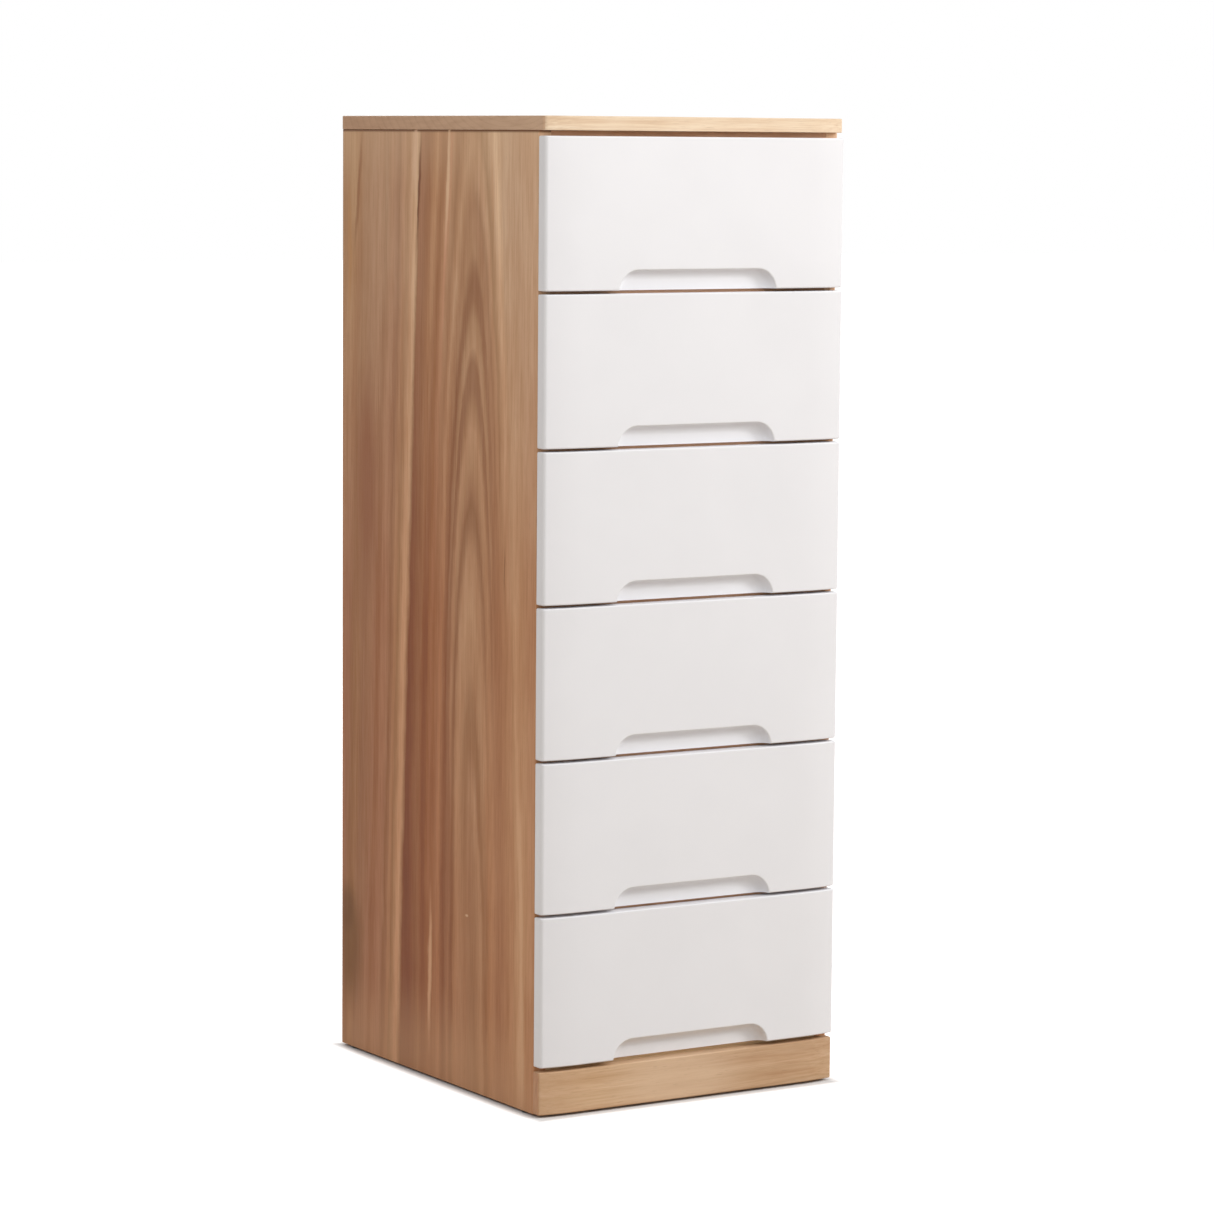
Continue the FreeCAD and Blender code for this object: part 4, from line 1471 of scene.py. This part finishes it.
@dataclass
class Drawer:
    """One drawer: its lacquered front and its box."""

    finishes: Finishes
    number: int
    recess_flat: float = 160 * MM
    recess_corner: float = 25 * MM
    recess_height: float = 22.5 * MM
    recess_depth: float = 13 * MM
    recess_cove: float = 11 * MM
    cove_strips: int = 9
    arc_steps: int = 12
    soft_edge: float = 1.8 * MM
    eased: float = 1.0 * MM
    sheet_eased: float = 0.3 * MM
    groove_depth: float = 5 * MM
    groove_play: float = 0.2 * MM
    bowed: BowedBoard = field(default_factory=lambda: BowedBoard(corner=3.5 * MM))

    @property
    def body(self) -> str:
        """The body that the drawer's pieces ride on."""
        return "drawer_%d" % self.number

    def node(self, part: str) -> str:
        """The name of one of the drawer's nodes or pieces."""
        return "%s_%s" % (self.body, part)

    def build(self) -> None:
        """Builds the drawer's front and box."""
        self.front()
        self.box_boards("box_sides", "side_boards", Axis.X, self.finishes.pale_y)
        self.box_boards("box_ends", "end_boards", Axis.Y, self.finishes.pale_x)
        self.bottom()

    def front(self) -> None:
        """The lacquered front, with a coved finger recess in its lower edge."""
        box = box_of(self.node("front"))
        shape = Shape()
        half, low, face = box.high.x, box.low.z, box.low.y
        flat = self.recess_flat / 2
        centre_z = low + self.recess_height - self.recess_corner
        reach = flat + math.sqrt(self.recess_corner ** 2 - (low - centre_z) ** 2)
        swing = math.acos((low - centre_z) / self.recess_corner)
        pen = Pen(shape.mesh, Vector((-half, face, low)))
        pen.line(Vector((-reach, face, low)))
        pen.arc(Vector((-flat, face, centre_z)), Axis.Y.unit, swing, self.arc_steps)
        pen.line(Vector((flat, face, low + self.recess_height)))
        pen.arc(Vector((flat, face, centre_z)), Axis.Y.unit, swing, self.arc_steps)
        for x, z in ((half, low), (half, box.high.z), (-half, box.high.z)):
            pen.line(Vector((x, face, z)))
        shape.push([pen.fill()], Axis.Y.unit * box.size.y)
        floor_y = face + self.recess_depth
        self.close_behind(shape, box, floor_y, reach)
        self.bowed.bend(shape, box)
        shape.soften(self.recess_rim(shape, floor_y, reach, low), self.recess_cove, self.cove_strips)
        rim = self.bowed.rim(shape, box) + self.recess_rim(shape, face, reach, low)
        shape.soften(set(rim), self.soft_edge)
        shape.finish(self.node("lacquered_front"), self.body, Slot.WHITE_LACQUER, [self.finishes.lacquer],
                     self.node("front"))

    def close_behind(self, shape: Shape, box: Box, floor_y: float, reach: float) -> None:
        """Closes the board again behind the recess, whose outline goes right through it.

        Args:
            shape: the board.
            box: its box.
            floor_y: where the recess ends.
            reach: half its width.
        """
        mesh, low, back = shape.mesh, box.low.z, box.high.y
        shape.cut(Axis.Y, (floor_y,))
        behind = shape.faces_where(
            lambda middle, _: floor_y < middle.y < back - NEAR and abs(middle.x) < reach
            and low + NEAR < middle.z < low + self.recess_height + NEAR)
        bmesh.ops.delete(mesh, geom=behind, context="FACES")
        sills = [mesh.edges.new(self.recess_feet(mesh, y, reach, low)) for y in (floor_y, back)]
        for y, sill in zip((floor_y, back), sills):
            bmesh.ops.contextual_create(mesh, geom=[*self.recess_rim(shape, y, reach, low), sill])
        steps = shape.edges_where(
            lambda start, end: abs(start.x - end.x) < NEAR and abs(abs(start.x) - reach) < NEAR
            and min(start.y, end.y) > floor_y - NEAR and max(start.z, end.z) < low + NEAR)
        bmesh.ops.contextual_create(mesh, geom=[*sills, *steps])
        bmesh.ops.dissolve_limit(mesh, angle_limit=FLAT, use_dissolve_boundaries=False,
                                 verts=mesh.verts, edges=mesh.edges)

    def recess_feet(self, mesh: BMesh, y: float, reach: float, low: float) -> list[BMVert]:
        """The two points where the recess's outline meets the lower edge at one depth."""
        return [vert for vert in mesh.verts if abs(vert.co.y - y) < NEAR and abs(vert.co.z - low) < NEAR
                and abs(abs(vert.co.x) - reach) < NEAR]

    def recess_rim(self, shape: Shape, y: float, reach: float, low: float) -> list[BMEdge]:
        """Finds the edges of the recess's outline at one depth, without the open lower side.

        Args:
            shape: the board.
            y: the depth.
            reach: half the recess's width.
            low: where the board's lower edge is.

        Returns:
            The edges.
        """
        def on_outline(start: Vector, end: Vector) -> bool:
            at_depth = max(abs(start.y - y), abs(end.y - y)) < NEAR
            within = max(abs(start.x), abs(end.x)) < reach + NEAR
            top = max(start.z, end.z)
            return at_depth and within and low + NEAR < top < low + self.recess_height + NEAR
        return shape.edges_where(on_outline)

    def box_boards(self, part: str, name: str, axis: Axis, material: Material) -> None:
        """Builds two opposite boards of the box, grooved for its bottom.

        Args:
            part: the end of the node's name.
            name: the end of the piece's name.
            axis: the axis that the boards face along.
            material: their finish.
        """
        bottom = box_of(self.node("box_bottom"))
        low, high = bottom.low.z, bottom.high.z + self.groove_play
        shape = Shape()
        for box in solids_of(self.node(part)):
            sign = 1 if box.centre[axis.value] > bottom.centre[axis.value] else -1
            inner = (box.low if sign > 0 else box.high)[axis.value]
            board = Shape()
            board.board(box, self.eased)
            board.cut(Axis.Z, (low, high))
            groove = board.faces_where(
                lambda middle, _: low < middle.z < high and abs(middle[axis.value] - inner) < NEAR)
            board.push(groove, axis.unit * sign * self.groove_depth)
            shape.add(board)
        shape.finish(self.node(name), self.body, Slot.INNER_WOOD, [material], self.node(part))

    def bottom(self) -> None:
        """The box's thin bottom sheet."""
        shape = Shape()
        shape.board(box_of(self.node("box_bottom")), self.sheet_eased, 1)
        shape.finish(self.node("bottom_sheet"), self.body, Slot.PLYWOOD, [self.finishes.box_sheet],
                     self.node("box_bottom"))


# ---------------------------------------------------------------- studio


@dataclass(frozen=True)
class Lamp:
    """A square soft lamp: where it hangs and where it points, in metres, and its power in watts."""

    name: str
    place: tuple[float, float, float]
    aim: tuple[float, float, float]
    side: float
    power: float

    def hang(self) -> None:
        """Hangs the lamp in the studio."""
        data = bpy.data.lights.new(self.name, "AREA")
        data.shape, data.size, data.energy = "SQUARE", self.side, self.power
        ahead = Vector(self.aim) - Vector(self.place)
        turn = ahead.to_track_quat("-Z", "Y").to_matrix().to_4x4()
        new_object(self.name, data).matrix_world = Matrix.Translation(self.place) @ turn


@dataclass
class Studio:
    """A pale floor, soft lamps and the camera."""

    camera_place: tuple[float, float, float] = (-2.6482, -4.2707, 1.0927)
    azimuth: float = 32.075
    pitch: float = -6.203
    roll: float = 0.444
    lens: float = 127.15
    sensor: float = 36.0
    sky: float = 0.40
    lamps: tuple[Lamp, ...] = (
        Lamp("key_right", (4.3, -3.3, 2.9), (0.0, 0.0, 0.6), 1.4, 140.0),
        Lamp("front_soft", (0.3, -1.65, 1.7), (0.0, -0.23, 0.9), 1.0, 9.7),
        Lamp("fill_left", (-2.6, -1.2, 2.5), (-0.2, -0.1, 0.8), 1.2, 22.5),
        Lamp("back_soft", (0.6, 3.2, 2.4), (0.0, 0.2, 0.6), 1.6, 50.0))
    floor_size: float = 30.0
    floor_colour: str = "c4b6a6"
    floor_seen: str = "efefef"
    floor_lift: float = 0.9
    contact_reach: float = 0.02

    def build(self) -> None:
        """Sets up the whole studio."""
        self.camera()
        self.world()
        self.floor()
        for lamp in self.lamps:
            lamp.hang()
        bpy.context.scene.view_settings.view_transform = "Standard"

    def camera(self) -> None:
        """The camera, level but for a slight roll, a little below the top board."""
        turn, tip, roll = (math.radians(angle) for angle in (self.azimuth, self.pitch, self.roll))
        ahead = Vector((math.sin(turn) * math.cos(tip), math.cos(turn) * math.cos(tip), math.sin(tip)))
        right = Vector((math.cos(turn), -math.sin(turn), 0))
        up = right.cross(ahead)
        tilted_right = right * math.cos(roll) + up * math.sin(roll)
        tilted_up = up * math.cos(roll) - right * math.sin(roll)
        data = bpy.data.cameras.new("camera")
        data.lens, data.sensor_width = self.lens, self.sensor
        camera = new_object("camera", data)
        rotation = Matrix((tilted_right, tilted_up, -ahead)).transposed().to_4x4()
        camera.matrix_world = Matrix.Translation(self.camera_place) @ rotation
        bpy.context.scene.camera = camera

    def seen(self, add: AddNode) -> Node:
        """Tells rays from the camera, a mirror or glass from all others.

        Args:
            add: adds a node to the floor or the sky.

        Returns:
            1 for such a ray, else 0.
        """
        path = add("LightPath").outputs
        first = add("Math", (path["Is Camera Ray"], path["Is Glossy Ray"]), operation="MAXIMUM")
        return add("Math", (first, path["Is Transmission Ray"]), operation="MAXIMUM")

    def world(self) -> None:
        """An even sky that lights softly and looks white."""
        world = bpy.data.worlds.new("studio")
        bpy.context.scene.world = world
        world.use_nodes = True
        world.node_tree.nodes.clear()
        add = partial(add_node, world.node_tree)
        strength = add("MapRange", {"Value": self.seen(add), "To Min": self.sky, "To Max": 1.0})
        add("OutputWorld", (add("Background", ("ffffff", strength)),))

    def floor(self) -> None:
        """A wide floor that reads as white paper, keeps the chest's real shadow and is painted darker round its foot.
        """
        mesh = bmesh.new()
        bmesh.ops.create_grid(mesh, x_segments=2, y_segments=2, size=self.floor_size)
        data = bpy.data.meshes.new("floor")
        mesh.to_mesh(data)
        mesh.free()
        material = bpy.data.materials.new("white_paper_floor")
        material.use_nodes = True
        material.node_tree.nodes.clear()
        add = partial(add_node, material.node_tree)
        seen = self.seen(add)
        paper = add("BsdfDiffuse", (add("MixRGB", (seen, self.floor_colour, self.floor_seen)),))
        outside = add("VectorMath", (add("TexCoord").outputs["Object"],), operation="ABSOLUTE")
        past = add("SeparateXYZ", (add("VectorMath", (outside, CAD_BOX[1]), operation="SUBTRACT"),)).outputs
        away = add("Math", (past[0], past[1]), operation="MAXIMUM")
        # The glow fades out within contact_reach of the footprint, so the paper there reads darker than elsewhere:
        # painted shade round the foot, over the real contact shadow.
        lift = add("MapRange", (away, 0.0, self.contact_reach, 0.0, self.floor_lift),
                   interpolation_type="SMOOTHSTEP")
        glow = add("Emission", {"Strength": add("Math", (seen, lift), operation="MULTIPLY")})
        add("OutputMaterial", (add("AddShader", (paper, glow)),))
        data.materials.append(material)
        new_object("floor", data)


def dress_dowels(material: Material) -> None:
    """Gives the dowels, which stay as the frame has them, their finish."""
    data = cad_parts["carcass_dowels"].data
    data.materials.clear()
    data.materials.append(material)


def main() -> None:
    """Builds the studio, the carcass, the drawers, their runners and the screws in order."""
    logging.basicConfig(level=logging.INFO, format="%(name)s: %(message)s", stream=sys.stdout)
    Studio().build()
    finishes = Finishes()
    carcass, runners, screws = Carcass(finishes), Runners(finishes), Screws(finishes)
    carcass.build()
    for hand in Hand:
        runners.cabinet(hand)
    screws.build("cabinet_runner_screws", "fixed_member_screws", carcass.body, screws.outward)
    screws.build("back_screws", "back_sheet_screws", carcass.body, screws.forward)
    drawers = sum(name.endswith("_front") and name.startswith("drawer_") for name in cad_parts)
    for number in range(1, drawers + 1):
        drawer = Drawer(finishes, number)
        drawer.build()
        runners.drawer(drawer.body)
        screws.build(drawer.node("screws"), drawer.node("fixing_screws"), drawer.body, screws.in_drawer)
    dress_dowels(finishes.beech)


if __name__ == "__main__":
    main()
